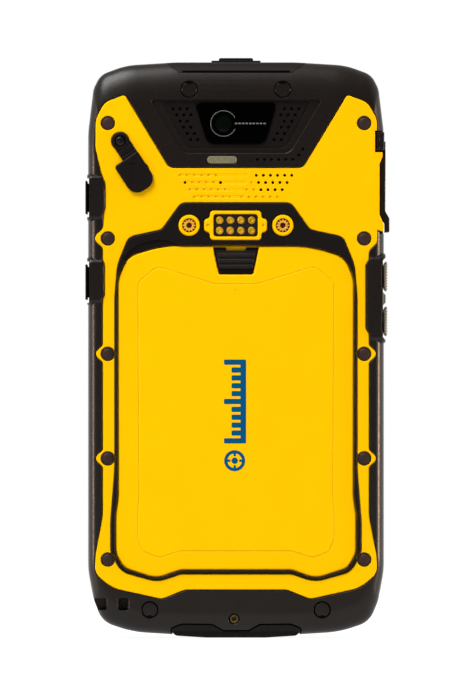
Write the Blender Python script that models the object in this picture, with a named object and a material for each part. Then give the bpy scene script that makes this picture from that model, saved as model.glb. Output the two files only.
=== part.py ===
"""Rugged handheld data collector, modelled as an assembly of its separate pieces.

The instrument stands on its lower edge: +Z runs up its length, the screen faces -Y and the
battery door faces +Y.  Outlines are drawn as seen from behind, with u running to the right,
so world X is -u.  All sizes below are in millimetres.
"""

import math

import bmesh
import bpy

MM = 0.001
GAP = 0.3  # clearance between neighbouring pieces
BEYOND = 13.0  # past the rear of every piece, where cutters end
FINE_STEP = 24.0  # degrees turned by one segment of a rounded corner
SMOOTH_STEP = 13.0  # the same for the silhouette

# Layers through the thickness, from the screen side (-Y) to the door side (+Y)
FRONT_RIM = -12.5
SCREEN_FACE = -12.0
FRONT_PLATE_INNER = -10.0
BOARD_FRONT, BOARD_REAR = -5.6, -4.4
KEY_LEVEL = -2.5  # stems of the side keys and the switches that they press
STEM_RADIUS, STEM_HOLE = 0.8, 1.2
FRONT_WALL_END = 3.2
REAR_WALL_START = 4.6
PLATE_INNER = 7.8
PLATE_STEP = 9.2  # rear side of the plate inside the bumper
FACE_ROOT = 8.6  # the visible rear face, with its own outline, starts here
LIP_INNER = 9.5  # inner side of the bumper's rear lip
PLATE_FACE = 11.4
BUMPER_REAR = 11.5
OVERMOULD_FACE = 11.8

# Battery, its bay and its door
BAY_HALF_WIDTH, BAY_LOW, BAY_HIGH = 28.6, 21.5, 99.5
BAY_FLOOR = 2.6
BAY_WALL = 1.2
DOOR_INNER, DOOR_FACE = 9.7, 11.5
DOOR_SEAT = 9.3
DOOR_GAP = 0.35
HINGE_Y, HINGE_Z = 11.6, 15.9
HINGE_TAB_U = 21.0

# Places of repeated and shared features, as (u, z)
SCREW_U = 34.2
SCREW_HEAD, SCREW_SHANK, SCREW_HOLE = 1.75, 0.8, 1.1
SCREW_COLUMN = 2.4
SCREW_LEVELS = (20.9, 47.9, 75.8, 106.6, 137.4)
CAP_PLUGS = ((-12.5, 146.4), (12.5, 146.4), (-23.0, 7.5), (23.0, 7.5))
INSERT_SPACING, INSERT_Z = 25.0, 110.1
LENS = (-3.35, 137.3)
FLASH = (-3.7, 127.6)
CONTACT = (-0.1, 110.1)
CHIN_INSERT = (-0.5, 5.1)
JACK_ANGLE = math.atan2(-0.838, 0.546)  # direction of the antenna flap, from its anchor
ANCHOR = (-30.9, 132.6)
FLAP_HINGE = 3.4
FLAP_HINGE_Y = 12.2
JACK_REACH = 9.6
PORT_HINGE = (40.0, 130.0)
USB_Z, AUDIO_Z = 116.6, 124.0
USB_Y, AUDIO_Y = -2.6, -1.1
FRONT_KEY_Z = 24.0
FRONT_KEY_PITCH = 15.0

# Outlines as (u, z) or (u, z, corner radius); a half outline is mirrored about u = 0
SILHOUETTE = (
    (16, 153.7, 47), (29.3, 152.9, 19), (36.2, 150.4, 8.8), (38.1, 146.6, 6), (39.5, 135, 28),
    (39.5, 18, 22), (38.0, 9.8, 11.4), (35.7, 4.2, 11.8), (27.7, 1.5, 29), (16, 0.8, 34),
)
CAVITY = ((33.0, 149.0, 5), (36.6, 142.6, 6), (37.2, 134.0, 12), (37.2, 12.5, 4))
DOOR = (
    (19.5, 104.5, 30), (29.0, 101.6, 6), (31.4, 95.6, 8), (31.3, 37.5, 20),
    (32.0, 33, 10), (32.0, 22.6, 5), (29.8, 18.7, 4), (21.2, 15.9, 7), (15.0, 18.2, 4),
)
OVERMOULD = (
    (14.6, 116.1, 2.5), (19.8, 108.9, 2.5), (28.6, 107.0, 3), (31.6, 99.5, 12),
    (32.6, 91.0, 25), (32.6, 45, 60), (33.4, 31, 20), (33.4, 22.6, 5), (30.6, 17.7, 5),
    (21.0, 15.0, 8), (14.8, 17.1, 4),
)
CAMERA_RECESS = ((19.9, 143.7, 0.6), (13.6, 129.5, 2.5))
CAMERA_WINDOW = ((10.9, 142.8, 1.0), (7.6, 131.9, 2.5))
LATCH_POCKET = ((6.8, 106.0), (4.8, 96.7, 0.8))
LATCH = ((5.5, 103.4, 0.4), (4.5, 98.6, 0.6))
TOP_PLATE = ((28.0, 160.0), (15.0, 150.9, 0.8))
CHEEK = (
    (34.0, 108.9), (37.7, 108.9), (39.3, 108.4), (39.5, 110.3, 0.6), (38.2, 113.2, 2),
    (38.2, 126.3, 2), (39.1, 128.4, 0.5), (39.1, 129.6), (34.0, 129.6),
)
PORT_DOOR = (
    (39.4, 129.85), (39.4, 128.2), (38.6, 126.4, 1), (38.6, 113.3, 1), (39.8, 110.6, 1),
    (39.8, 108.3), (41.0, 108.3, 0.3), (41.0, 112.0, 0.5), (39.9, 113.9, 1), (40.0, 129.85),
)


# ---------------------------------------------------------------- outlines


def ear(side, z):
    """Corners of the small ear round one screw, on the side u has the sign of."""
    return (side * 35.5, z - 2.3, 1.0), (side * 38.0, z, 1.4), (side * 35.5, z + 2.3, 1.0)


def rear_face_corners():
    """Corners of the yellow rear face, clockwise from the left of its lower edge."""
    left = [
        (-13.6, 12.9, 4), (-19.8, 10.4, 3), (-33.4, 13.4, 12), (-37.7, 17.4, 4),
        (-37.4, 22.5, 10), (-35.5, 32.5, 15), *ear(-1, SCREW_LEVELS[1]), *ear(-1, SCREW_LEVELS[2]),
        (-35.5, 90.4, 1), (-35.0, 91.4, 1), (-35.0, 99.8, 1), (-35.5, 100.8, 1),
        (-35.5, 104.0, 1), (-38.2, 106.6, 1.4), (-35.4, 109.4, 2), (-35.3, 113.2, 2),
        (-34.8, 114.8, 2), (-34.8, 121.2, 2), (-35.9, 124.0, 3), (-37.5, 130.8, 8),
        (-37.4, 138.5, 6), (-35.0, 142.9, 4), (-29.7, 144.9, 0.8), (-17.9, 125.4, 2.5),
    ]
    right = [
        (17.9, 125.4, 2.5), (29.7, 144.9, 0.8), (35.0, 142.9, 4), (37.6, 138.5, 5),
        (37.6, 135.4), (37.1, 135.4), (37.1, 129.6), (39.1, 129.6), (39.1, 128.4, 0.5),
        (38.2, 126.3, 2), (38.2, 113.2, 2), (39.5, 110.3, 0.6), (39.3, 108.4), (37.7, 108.9),
        (37.7, 105.6, 2), (35.5, 103.2, 2), (35.5, 100.6, 0.4), (34.6, 99.8, 0.4),
        (34.6, 82.2, 0.4), (35.5, 81.4, 0.4), *reversed(ear(1, SCREW_LEVELS[2])),
        *reversed(ear(1, SCREW_LEVELS[1])), (35.5, 32.5, 15), (37.4, 22.5, 10), (37.7, 17.4, 4),
        (33.4, 13.4, 12), (19.8, 10.4, 3), (13.6, 12.9, 4),
    ]
    return left + right


def rounded(corners, step=FINE_STEP):
    """Closed outline through the corners, each turned into an arc of its radius."""
    points = []
    count = len(corners)
    for index, corner in enumerate(corners):
        u, z = corner[:2]
        radius = corner[2] if len(corner) > 2 else 0.0
        before = corners[index - 1]
        after = corners[(index + 1) % count]
        back = (before[0] - u, before[1] - z)
        ahead = (after[0] - u, after[1] - z)
        back_length = math.hypot(*back)
        ahead_length = math.hypot(*ahead)
        back = (back[0] / back_length, back[1] / back_length)
        ahead = (ahead[0] / ahead_length, ahead[1] / ahead_length)
        cosine = max(-1.0, min(1.0, back[0] * ahead[0] + back[1] * ahead[1]))
        turn = math.pi - math.acos(cosine)
        if radius == 0.0 or turn < 0.001:
            points.append((u, z))
            continue
        reach = radius * math.tan(turn / 2)
        longest = 0.48 * min(back_length, ahead_length)
        if reach > longest:
            radius *= longest / reach
            reach = longest
        bisector = (back[0] + ahead[0], back[1] + ahead[1])
        stretch = math.hypot(radius, reach) / math.hypot(*bisector)
        centre = (u + bisector[0] * stretch, z + bisector[1] * stretch)
        first = math.atan2(z + back[1] * reach - centre[1], u + back[0] * reach - centre[0])
        last = math.atan2(z + ahead[1] * reach - centre[1], u + ahead[0] * reach - centre[0])
        sweep = (last - first + math.pi) % (2 * math.pi) - math.pi
        segments = max(1, math.ceil(abs(sweep) / math.radians(step)))
        for part in range(segments + 1):
            angle = first + sweep * part / segments
            points.append(
                (centre[0] + radius * math.cos(angle), centre[1] + radius * math.sin(angle))
            )
    return points


def mirrored(half):
    """Corners of a whole outline from its half at u > 0, top to bottom."""
    other = [(-corner[0], *corner[1:]) for corner in reversed(half)]
    return list(half) + other


def offset(loop, distance):
    """The closed outline grown by distance, or shrunk where distance is negative."""
    area = sum(
        loop[i - 1][0] * loop[i][1] - loop[i][0] * loop[i - 1][1] for i in range(len(loop))
    )
    side = distance if area > 0 else -distance
    grown = []
    for index, (u, z) in enumerate(loop):
        pu, pz = loop[index - 1]
        nu, nz = loop[(index + 1) % len(loop)]
        first = math.atan2(z - pz, u - pu)
        second = math.atan2(nz - z, nu - u)
        turn = (second - first + math.pi) % (2 * math.pi) - math.pi
        middle = first + turn / 2 - math.pi / 2
        reach = side / max(0.3, math.cos(turn / 2))
        grown.append((u + reach * math.cos(middle), z + reach * math.sin(middle)))
    return grown


def rectangle(u0, u1, z0, z1, radius=0.0):
    """Rounded rectangle as an outline."""
    corners = [(u0, z0, radius), (u1, z0, radius), (u1, z1, radius), (u0, z1, radius)]
    return rounded(corners, 22.5)


def circle(u, z, radius, segments=12):
    step = 2 * math.pi / segments
    return [
        (u + radius * math.cos(i * step), z + radius * math.sin(i * step)) for i in range(segments)
    ]


def scaled_inset(loop, side_inset, end_inset):
    """The silhouette drawn in evenly, by different amounts at its sides and its ends."""
    half = max(u for u, z in loop)
    low = min(z for u, z in loop)
    high = max(z for u, z in loop)
    middle = (low + high) / 2
    across = (half - side_inset) / half
    along = 1 - 2 * end_inset / (high - low)
    return [(u * across, middle + (z - middle) * along) for u, z in loop]


# ---------------------------------------------------------------- solids


def solid(rings, name="tool"):
    """Closed solid through rings of world points, capped at both ends."""
    mesh = bpy.data.meshes.new(name)
    form = bmesh.new()
    rows = [[form.verts.new(point) for point in ring] for ring in rings]
    form.faces.new(rows[0])
    form.faces.new(rows[-1])
    count = len(rows[0])
    for lower, upper in zip(rows, rows[1:]):
        for i in range(count):
            following = (i + 1) % count
            form.faces.new((lower[i], lower[following], upper[following], upper[i]))
    bmesh.ops.recalc_face_normals(form, faces=form.faces)
    form.to_mesh(mesh)
    form.free()
    made = bpy.data.objects.new(name, mesh)
    bpy.context.scene.collection.objects.link(made)
    return made


def loft(sections):
    """Solid through (y, outline) sections with equal numbers of points."""
    return solid([[(-u * MM, y * MM, z * MM) for u, z in loop] for y, loop in sections])


def prism(loop, y0, y1):
    return loft([(y0, loop), (y1, loop)])


def box(u0, u1, y0, y1, z0, z1):
    return prism([(u0, z0), (u1, z0), (u1, z1), (u0, z1)], y0, y1)


def rod(axis, centre, radius, start, end, segments=12):
    """Cylinder along u, y or z; centre holds its two other coordinates, in u, y, z order."""
    rings = []
    for reach in (start, end):
        ring = []
        for a, b in circle(centre[0], centre[1], radius, segments):
            u, y, z = {"u": (reach, a, b), "y": (a, reach, b), "z": (a, b, reach)}[axis]
            ring.append((-u * MM, y * MM, z * MM))
        rings.append(ring)
    return solid(rings)


def combined(target, operation, tools):
    """Apply a Boolean of each tool to the target, and remove the tools."""
    for tool in tools:
        modifier = target.modifiers.new("Boolean", "BOOLEAN")
        modifier.operation = operation
        modifier.solver = "EXACT"
        modifier.object = tool
        graph = bpy.context.evaluated_depsgraph_get()
        result = bpy.data.meshes.new_from_object(target.evaluated_get(graph))
        target.modifiers.clear()
        target.data = result
        bpy.data.objects.remove(tool)
    return target


def cut(target, *tools):
    return combined(target, "DIFFERENCE", tools)


def join(target, *tools):
    return combined(target, "UNION", tools)


def common(target, tool):
    return combined(target, "INTERSECT", [tool])


# ---------------------------------------------------------------- materials and nodes


def material(name, colour, roughness, metallic=0.0):
    made = bpy.data.materials.new(name)
    made.use_nodes = True
    shader = made.node_tree.nodes["Principled BSDF"]
    shader.inputs["Base Color"].default_value = (*colour, 1.0)
    shader.inputs["Roughness"].default_value = roughness
    shader.inputs["Metallic"].default_value = metallic
    return made


FINISHES = {
    "yellow": ((1.0, 0.6, 0.0), 0.45, 0.0),
    "black": ((0.022, 0.02, 0.019), 0.6, 0.0),
    "rubber": ((0.03, 0.026, 0.024), 0.8, 0.0),
    "glossy": ((0.004, 0.004, 0.005), 0.08, 0.0),
    "brass": ((0.62, 0.36, 0.12), 0.35, 1.0),
    "gold": ((0.66, 0.4, 0.1), 0.4, 1.0),
    "steel": ((0.42, 0.42, 0.43), 0.35, 1.0),
    "brown": ((0.075, 0.042, 0.03), 0.55, 0.0),
    "green": ((0.01, 0.11, 0.05), 0.5, 0.0),
    "ceramic": ((0.75, 0.72, 0.65), 0.4, 0.0),
    "grey": ((0.16, 0.16, 0.165), 0.5, 0.0),
    "cream": ((0.62, 0.56, 0.34), 0.25, 0.0),
}


def node(name, form, finish, pivot=None):
    """Name a finished solid, give it its own material, and put its origin on its pivot."""
    form.name = name
    form.data.name = name
    form.data.materials.clear()
    form.data.materials.append(material(name, *FINISHES[finish]))
    form.data.shade_smooth()
    form.data.set_sharp_from_angle(angle=math.radians(30))
    if pivot is not None:
        u, y, z = pivot
        place = (-u * MM, y * MM, z * MM)
        for vertex in form.data.vertices:
            vertex.co = [vertex.co[i] - place[i] for i in range(3)]
        form.location = place
    return form


# ---------------------------------------------------------------- housing shells


def silhouette_sections():
    """Sections of the outer body: rounded over towards the screen and the rear face."""
    loop = rounded(mirrored(SILHOUETTE), SMOOTH_STEP)
    front_start, front_side, front_end = -9.5, 1.1, 1.8
    rear_start, rear_side, rear_end = 7.0, 2.8, 6.0
    sections = []
    for angle in (90, 60, 30, 0):
        turn = math.radians(angle)
        depth = front_start + (FRONT_RIM - front_start) * math.sin(turn)
        shrink = 1 - math.cos(turn)
        sections.append((depth, scaled_inset(loop, front_side * shrink, front_end * shrink)))
    for angle in (0, 22.5, 45, 67.5, 90):
        turn = math.radians(angle)
        depth = rear_start + (BUMPER_REAR - rear_start) * math.sin(turn)
        shrink = 1 - math.cos(turn)
        sections.append((depth, scaled_inset(loop, rear_side * shrink, rear_end * shrink)))
    return sections


def make_bumper():
    """Black frame round the whole body, with its upper cap and its chin."""
    bumper = loft(silhouette_sections())
    boss_front, boss_rear = -7.5, 11.7
    bosses = (
        rectangle(-39.8, -35.1, 111.1, 123.8, 1.0), rectangle(-39.8, -35.3, 88.3, 101.9, 1.0),
        rectangle(34.9, 40.0, 80.6, 100.7, 1.0), rectangle(34.9, 39.3, 78.4, 103.4, 1.5),
    )
    for loop in bosses:
        join(bumper, prism(loop, boss_front, boss_rear))
    cavity = rounded(mirrored(CAVITY))
    face = rounded(rear_face_corners())
    cut(bumper, prism(cavity, FRONT_RIM - 1, LIP_INNER))
    cut(bumper, prism(offset(face, GAP), FACE_ROOT - GAP, BEYOND))
    cut(bumper, prism(offset(rounded(CHEEK), GAP), REAR_WALL_START - GAP, BEYOND))

    recess_floor, window_floor = 10.8, 9.9
    cut(
        bumper,
        prism(rounded(mirrored(CAMERA_RECESS)), recess_floor, BEYOND),
        prism(offset(rounded(mirrored(CAMERA_WINDOW)), GAP), window_floor, BEYOND),
        rod("y", LENS, 4.3, 9, BEYOND, 20),
        prism(flash_outline(GAP), 9, BEYOND),
    )
    for place in CAP_PLUGS:
        cut(bumper, rod("y", place, 2.4, 9.9, BEYOND))
    cut(bumper, rod("y", CHIN_INSERT, 1.5, 6.5, BEYOND, 12))

    strap_low, strap_high = 7.4, 10.6
    cut(
        bumper,
        box(-31.4, -28.8, 5.5, BEYOND, strap_low, strap_high),
        box(-45, -34.5, 5.5, BEYOND, strap_low, strap_high),
        box(-36, -30, 5.5, 9.0, strap_low, strap_high),
    )
    cut(bumper, prism(offset(dock_outline(), GAP), -9.3, 9.3))
    cut(bumper, prism(offset(rounded(mirrored(TOP_PLATE)), GAP), -8.3, BEYOND))
    cut(bumper, rod("z", (0, KEY_LEVEL), STEM_HOLE, 148, 152, 12))

    for side, z, half in side_key_places():
        cut(
            bumper,
            key_box(side, 36.5, 38.7, z, half + 1.1, 3.4),
            key_box(side, 38.0, 46.0, z, half + 0.35, 2.65),
        )
    cut(
        bumper,
        box(38.2, 46, -6.5, BEYOND, 107.9, 130.0),
        box(36.5, 46, -4.2, 2.2, 111.5, 127.6),
        box(37.0, 46, -4.3, BEYOND, 129.4, 135.4),
    )
    return node("bumper_frame", bumper, "black")


def flash_outline(growth=0.0):
    half_length, half_width = 4.0 + growth, 1.0 + growth
    u, z = FLASH
    return rectangle(
        u - half_length, u + half_length, z - half_width, z + half_width, half_width - 0.05,
    )


def side_key_places():
    """The four keys on the sides: side of u, height, half length."""
    return ((-1, 117.6, 4.4), (-1, 95.0, 4.7), (1, 96.5, 4.1), (1, 84.5, 4.1))


def key_box(side, inner, outer, z, half_length, half_width):
    """Box of one side key, between two distances from the middle plane."""
    low, high = sorted((side * inner, side * outer))
    front, rear = KEY_LEVEL - half_width, KEY_LEVEL + half_width
    return box(low, high, front, rear, z - half_length, z + half_length)


def make_front_housing():
    """Tub behind the screen: bezel plate, walls and the ten threaded columns."""
    cavity = rounded(mirrored(CAVITY))
    wall = 1.5
    housing = prism(offset(cavity, -GAP), SCREEN_FACE, FRONT_WALL_END)
    cut(housing, prism(offset(cavity, -GAP - wall), FRONT_PLATE_INNER, FRONT_WALL_END + 1))
    for u, z in screw_places():
        join(housing, rod("y", (u, z), SCREW_COLUMN, FRONT_PLATE_INNER - 0.5, FRONT_WALL_END))
    for u, z in screw_places():
        cut(housing, rod("y", (u, z), SCREW_HOLE, -4.6, FRONT_WALL_END + 1, 10))
    pocket_floor = -10.8
    cut(
        housing,
        prism(rectangle(-32.3, 32.3, 35.7, 140.3, 3), SCREEN_FACE - 1, pocket_floor),
        prism(rectangle(-29.5, 29.5, 41, 136), SCREEN_FACE - 1, FRONT_PLATE_INNER + 1),
        prism(rectangle(-6, 6, 144.2, 145.8, 0.7), SCREEN_FACE - 1, FRONT_PLATE_INNER + 1),
    )
    for u in front_key_places():
        hole = rectangle(u - 5.5, u + 5.5, FRONT_KEY_Z - 3.0, FRONT_KEY_Z + 3.0, 2.4)
        cut(housing, prism(hole, SCREEN_FACE - 1, FRONT_PLATE_INNER + 1))
    for side, z, _half in side_key_places():
        cut(housing, rod("u", (KEY_LEVEL, z), STEM_HOLE, side * 34.0, side * 38.0, 10))
    cut(housing, rod("z", (0, KEY_LEVEL), STEM_HOLE, 146.5, 151, 10))
    cut(housing, box(34.0, 38.0, -4.4, 2.3, 112.0, 127.3))
    return node("front_housing", housing, "black")


def screw_places():
    return [(side * SCREW_U, z) for side in (-1, 1) for z in SCREW_LEVELS]


def front_key_places():
    return [(index - 1.5) * FRONT_KEY_PITCH for index in range(4)]


def contact_frame(inset=0.0):
    """Outline of the rim round the contact block, with an ear at either end."""
    u, z = CONTACT
    half_width, half_height, ear_reach = 6.85 - inset, 3.9 - inset, 8.4 - inset
    corners = []
    for side in (1, -1):
        corners += [
            (u + side * half_width, z + side * half_height, 1.6),
            (u + side * half_width, z + side * 1.8),
            (u + side * ear_reach, z + side * 1.6, 1.4),
            (u + side * ear_reach, z - side * 1.6, 1.4),
            (u + side * half_width, z - side * 1.8),
            (u + side * half_width, z - side * half_height, 1.6),
        ]
    return rounded(corners, 22.5)


def insert_places():
    return [(side * INSERT_SPACING / 2, INSERT_Z) for side in (-1, 1)]


def along_flap(reach, across=0.0):
    """Point at a distance from the anchor's centre along the antenna flap."""
    du, dz = math.cos(JACK_ANGLE), math.sin(JACK_ANGLE)
    return ANCHOR[0] + du * reach - dz * across, ANCHOR[1] + dz * reach + du * across


def sound_holes():
    """Open holes of the sound grille, as rows that shorten downwards."""
    pitch, row_pitch, first_u, first_z = 1.9, 1.92, 14.9, 123.45
    holes = []
    for row, open_holes in enumerate((6, 5, 4)):
        outermost = first_u - 1.28 * row
        z = first_z - row_pitch * row
        holes += [(outermost - pitch * i, z) for i in range(open_holes)]
    second_row = first_z - row_pitch
    return holes + [(1.28 - first_u, second_row), (-4.1, second_row)]


def make_rear_housing():
    """Yellow shell: walls, plate with the battery bay, and the cheek beside the ports."""
    cavity = rounded(mirrored(CAVITY))
    wall = 1.5
    outer = offset(cavity, -GAP)
    housing = prism(outer, REAR_WALL_START, PLATE_STEP)
    cut(housing, prism(offset(cavity, -GAP - wall), REAR_WALL_START - 1, PLATE_INNER))
    join(housing, prism(rounded(rear_face_corners()), FACE_ROOT, PLATE_FACE))
    join(housing, prism(rounded(CHEEK), REAR_WALL_START, PLATE_FACE))
    for u, z in screw_places():
        join(housing, rod("y", (u, z), SCREW_COLUMN, REAR_WALL_START, PLATE_INNER + 0.5))

    tub = rectangle(-BAY_HALF_WIDTH, BAY_HALF_WIDTH, BAY_LOW, BAY_HIGH, 2.0)
    join(housing, prism(offset(tub, BAY_WALL), BAY_FLOOR - BAY_WALL, PLATE_INNER + 0.5))
    cut(housing, prism(tub, BAY_FLOOR, BEYOND))
    cut(housing, box(-7.5, 7.5, 0, BAY_FLOOR + 1, 91.5, 97.5))

    door = rounded(mirrored(DOOR))
    cut(housing, prism(offset(rounded(mirrored(OVERMOULD)), GAP), 10.1, BEYOND))
    cut(housing, prism(offset(door, DOOR_GAP), DOOR_SEAT, BEYOND))
    groove = prism(offset(tub, 2.0), 8.6, DOOR_SEAT + 0.2)
    cut(groove, prism(offset(tub, 0.7), 8, 11))
    cut(housing, groove)
    for side in (-1, 1):
        tab = side * HINGE_TAB_U
        cut(housing, box(tab - 3.4, tab + 3.4, DOOR_SEAT, 10.35, 15.3, 17.5))

    for place in insert_places():
        join(housing, rod("y", place, 2.8, 9.8, 12.2, 20))
        cut(housing, rod("y", place, 1.9, 8.4, BEYOND))
    join(housing, prism(contact_frame(), 9.8, 12.1))
    u, z = CONTACT
    cut(housing, prism(rectangle(u - 5.95, u + 5.95, z - 3.0, z + 3.0, 0.8), 8.3, BEYOND))

    for place in screw_places():
        cut(
            housing,
            rod("y", place, SCREW_HEAD + GAP, 10.0, BEYOND),
            rod("y", place, SCREW_HOLE, 4, 10.5, 10),
        )
    cut(housing, rod("y", LENS, 4.0, 7, BEYOND, 20))
    cut(housing, rod("y", along_flap(JACK_REACH), 2.6, 7, BEYOND))
    cut(housing, rod("y", ANCHOR, 2.6, 10.1, BEYOND), rod("y", ANCHOR, 0.9, 8.3, BEYOND, 10))
    for place in sound_holes():
        cut(housing, rod("y", place, 0.45, 7, BEYOND, 6))
    return node("rear_housing", housing, "yellow")


def make_overmould():
    """Black rubber band moulded into the rear plate, round the battery door."""
    band = prism(rounded(mirrored(OVERMOULD)), 10.4, OVERMOULD_FACE)
    cut(band, prism(offset(rounded(mirrored(DOOR)), DOOR_GAP), 10, BEYOND))
    for place in insert_places():
        cut(band, rod("y", place, 2.8 + GAP, 10, BEYOND, 20))
    cut(band, prism(offset(contact_frame(), GAP), 10, BEYOND))
    for place in screw_places():
        cut(band, rod("y", place, 2.1, 10, BEYOND))
    return node("rear_overmould", band, "rubber")


def dock_outline():
    """Pad under the chin that the instrument stands on."""
    return rounded(mirrored(((16.6, 3.0), (17.6, 1.4), (16.2, 0, 1.2))))


def make_covers():
    """Pad under the chin, plate round the power key, and the small trim in the cap."""
    node("dock_cover", prism(dock_outline(), -9.0, 9.0), "rubber")

    plate = prism(rounded(mirrored(TOP_PLATE)), -8.0, BEYOND)
    common(plate, loft(silhouette_sections()))
    rim = [(-6.9, 154.6), (-4.7, 152.4), (4.7, 152.4), (6.9, 154.6)]
    join(plate, prism(rim, -6.6, 6.0))
    cut(plate, prism([(-5.0, 152.3), (5.0, 152.3), (5.0, 156), (-5.0, 156)], -5.6, 2.6))
    cut(plate, rod("z", (0, KEY_LEVEL), STEM_HOLE, 149, 153, 12))
    node("top_plate", plate, "black")

    node("camera_window", prism(rounded(mirrored(CAMERA_WINDOW)), 10.2, 10.9), "glossy")
    node("flash_lens", prism(flash_outline(), 9.7, 11.3), "cream")
    for index, place in enumerate(CAP_PLUGS):
        node(f"cap_plug_{index + 1:02d}", rod("y", place, 2.1, 10.2, 11.2, 20), "black")


# ---------------------------------------------------------------- rear fittings


def make_fasteners():
    """Ten housing screws, and the three threaded brass inserts."""
    for index, place in enumerate(screw_places()):
        screw = rod("y", place, SCREW_HEAD, 10.3, 11.45)
        join(screw, rod("y", place, SCREW_SHANK, -4.0, 10.6, 8))
        node(f"rear_screw_{index + 1:02d}", screw, "brown")
    for side, place in zip(("left", "right"), insert_places()):
        insert = rod("y", place, 1.6, 8.8, 12.1)
        cut(insert, rod("y", place, 0.75, 9.6, BEYOND, 12))
        node(f"threaded_insert_{side}", insert, "brass")
    insert = rod("y", CHIN_INSERT, 1.2, 6.9, 10.7, 12)
    cut(insert, rod("y", CHIN_INSERT, 0.55, 8, BEYOND, 8))
    node("chin_insert", insert, "brass")


def make_contacts():
    """Contact block between the brass inserts: eight pads in a black carrier."""
    u, z = CONTACT
    pads = box(u - 5.2, u + 5.2, 8.7, 9.0, z - 2.4, z + 2.4)
    carrier = prism(rectangle(u - 5.6, u + 5.6, z - 2.65, z + 2.65, 0.6), 9.3, 11.6)
    for column in range(4):
        for row in (-1, 1):
            place = (u + (column - 1.5) * 2.85, z + row * 1.38)
            join(pads, rod("y", place, 0.8, 8.9, 11.7, 10))
            cut(carrier, rod("y", place, 1.05, 9, BEYOND, 10))
    node("contact_pads", pads, "gold")
    node("contact_insert", carrier, "black")


def make_antenna_flap():
    """Rubber flap over the external antenna socket, held by a screw at its anchor."""
    anchor = rod("y", ANCHOR, 2.3, 10.4, FLAP_HINGE_Y, 24)
    strap_half = 2.3
    root = [along_flap(0, strap_half), along_flap(0, -strap_half)]
    tip = [along_flap(FLAP_HINGE - 0.15, -strap_half), along_flap(FLAP_HINGE - 0.15, strap_half)]
    join(anchor, prism(root + tip, 11.7, FLAP_HINGE_Y))
    cut(anchor, rod("y", ANCHOR, 1.7, 11.0, BEYOND), rod("y", ANCHOR, 0.9, 10, BEYOND, 10))
    node("antenna_flap_anchor", anchor, "rubber")
    screw = rod("y", ANCHOR, 1.35, 11.3, 12.0, 12)
    join(screw, rod("y", ANCHOR, 0.6, 8.6, 11.5, 8))
    node("antenna_flap_screw", screw, "steel")

    strap = [
        along_flap(FLAP_HINGE + 0.15, strap_half), along_flap(5.5, strap_half),
        along_flap(5.5, -strap_half), along_flap(FLAP_HINGE + 0.15, -strap_half),
    ]
    corners = [(4.7, 2.4, 0.4), (14.5, 2.4, 3.2), (14.5, -5.1, 3.2), (4.9, -5.1, 0.5)]
    plate_loop = rounded([(*along_flap(a, b), r) for a, b, r in corners])
    flap = prism(plate_loop, 11.7, 12.45)
    join(flap, prism(strap, 11.7, FLAP_HINGE_Y))
    join(flap, rod("y", along_flap(JACK_REACH), 2.0, 11.0, 12.0))
    node("antenna_flap", flap, "rubber", place_3d(along_flap(FLAP_HINGE), FLAP_HINGE_Y))

    jack = rod("y", along_flap(JACK_REACH), 2.2, 4.9, 10.6)
    cut(jack, rod("y", along_flap(JACK_REACH), 1.6, 7.5, BEYOND, 12))
    join(jack, rod("y", along_flap(JACK_REACH), 0.5, 7.0, 10.2, 8))
    node("antenna_jack", jack, "gold")


def place_3d(place, y):
    return place[0], y, place[1]


def make_ports():
    """Ports behind the side door, the door itself and its fixed end."""
    door = prism(rounded(PORT_DOOR), -6.2, 8.2)
    cut(door, box(39.0, 41, -7, -3.0, 128.3, 131), box(39.0, 41, 5.0, 9, 128.3, 131))
    join(door, box(37.9, 39.0, USB_Y - 0.75, USB_Y + 0.75, USB_Z - 3.1, USB_Z + 3.1))
    join(door, rod("u", (AUDIO_Y, AUDIO_Z), 1.25, 37.9, 39.0, 10))
    node("port_door", door, "rubber", place_3d(PORT_HINGE, 0))

    anchor = box(37.5, 39.6, -4.0, 10.9, 130.2, 135.1)
    join(anchor, box(39.4, 40.0, -2.7, 4.7, 130.15, 132.5))
    node("port_door_anchor", anchor, "rubber")

    usb = box(30.9, 37.6, USB_Y - 1.5, USB_Y + 1.5, USB_Z - 4.0, USB_Z + 4.0)
    cut(usb, box(33.0, 40, USB_Y - 1.15, USB_Y + 1.15, USB_Z - 3.6, USB_Z + 3.6))
    join(usb, box(32.0, 35.5, USB_Y - 0.3, USB_Y + 0.3, USB_Z - 2.5, USB_Z + 2.5))
    node("usb_socket", usb, "steel")
    audio = rod("u", (AUDIO_Y, AUDIO_Z), 2.9, 30.9, 37.6, 14)
    cut(audio, rod("u", (AUDIO_Y, AUDIO_Z), 1.75, 33.0, 40, 12))
    node("audio_jack", audio, "black")


# ---------------------------------------------------------------- battery and door


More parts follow.
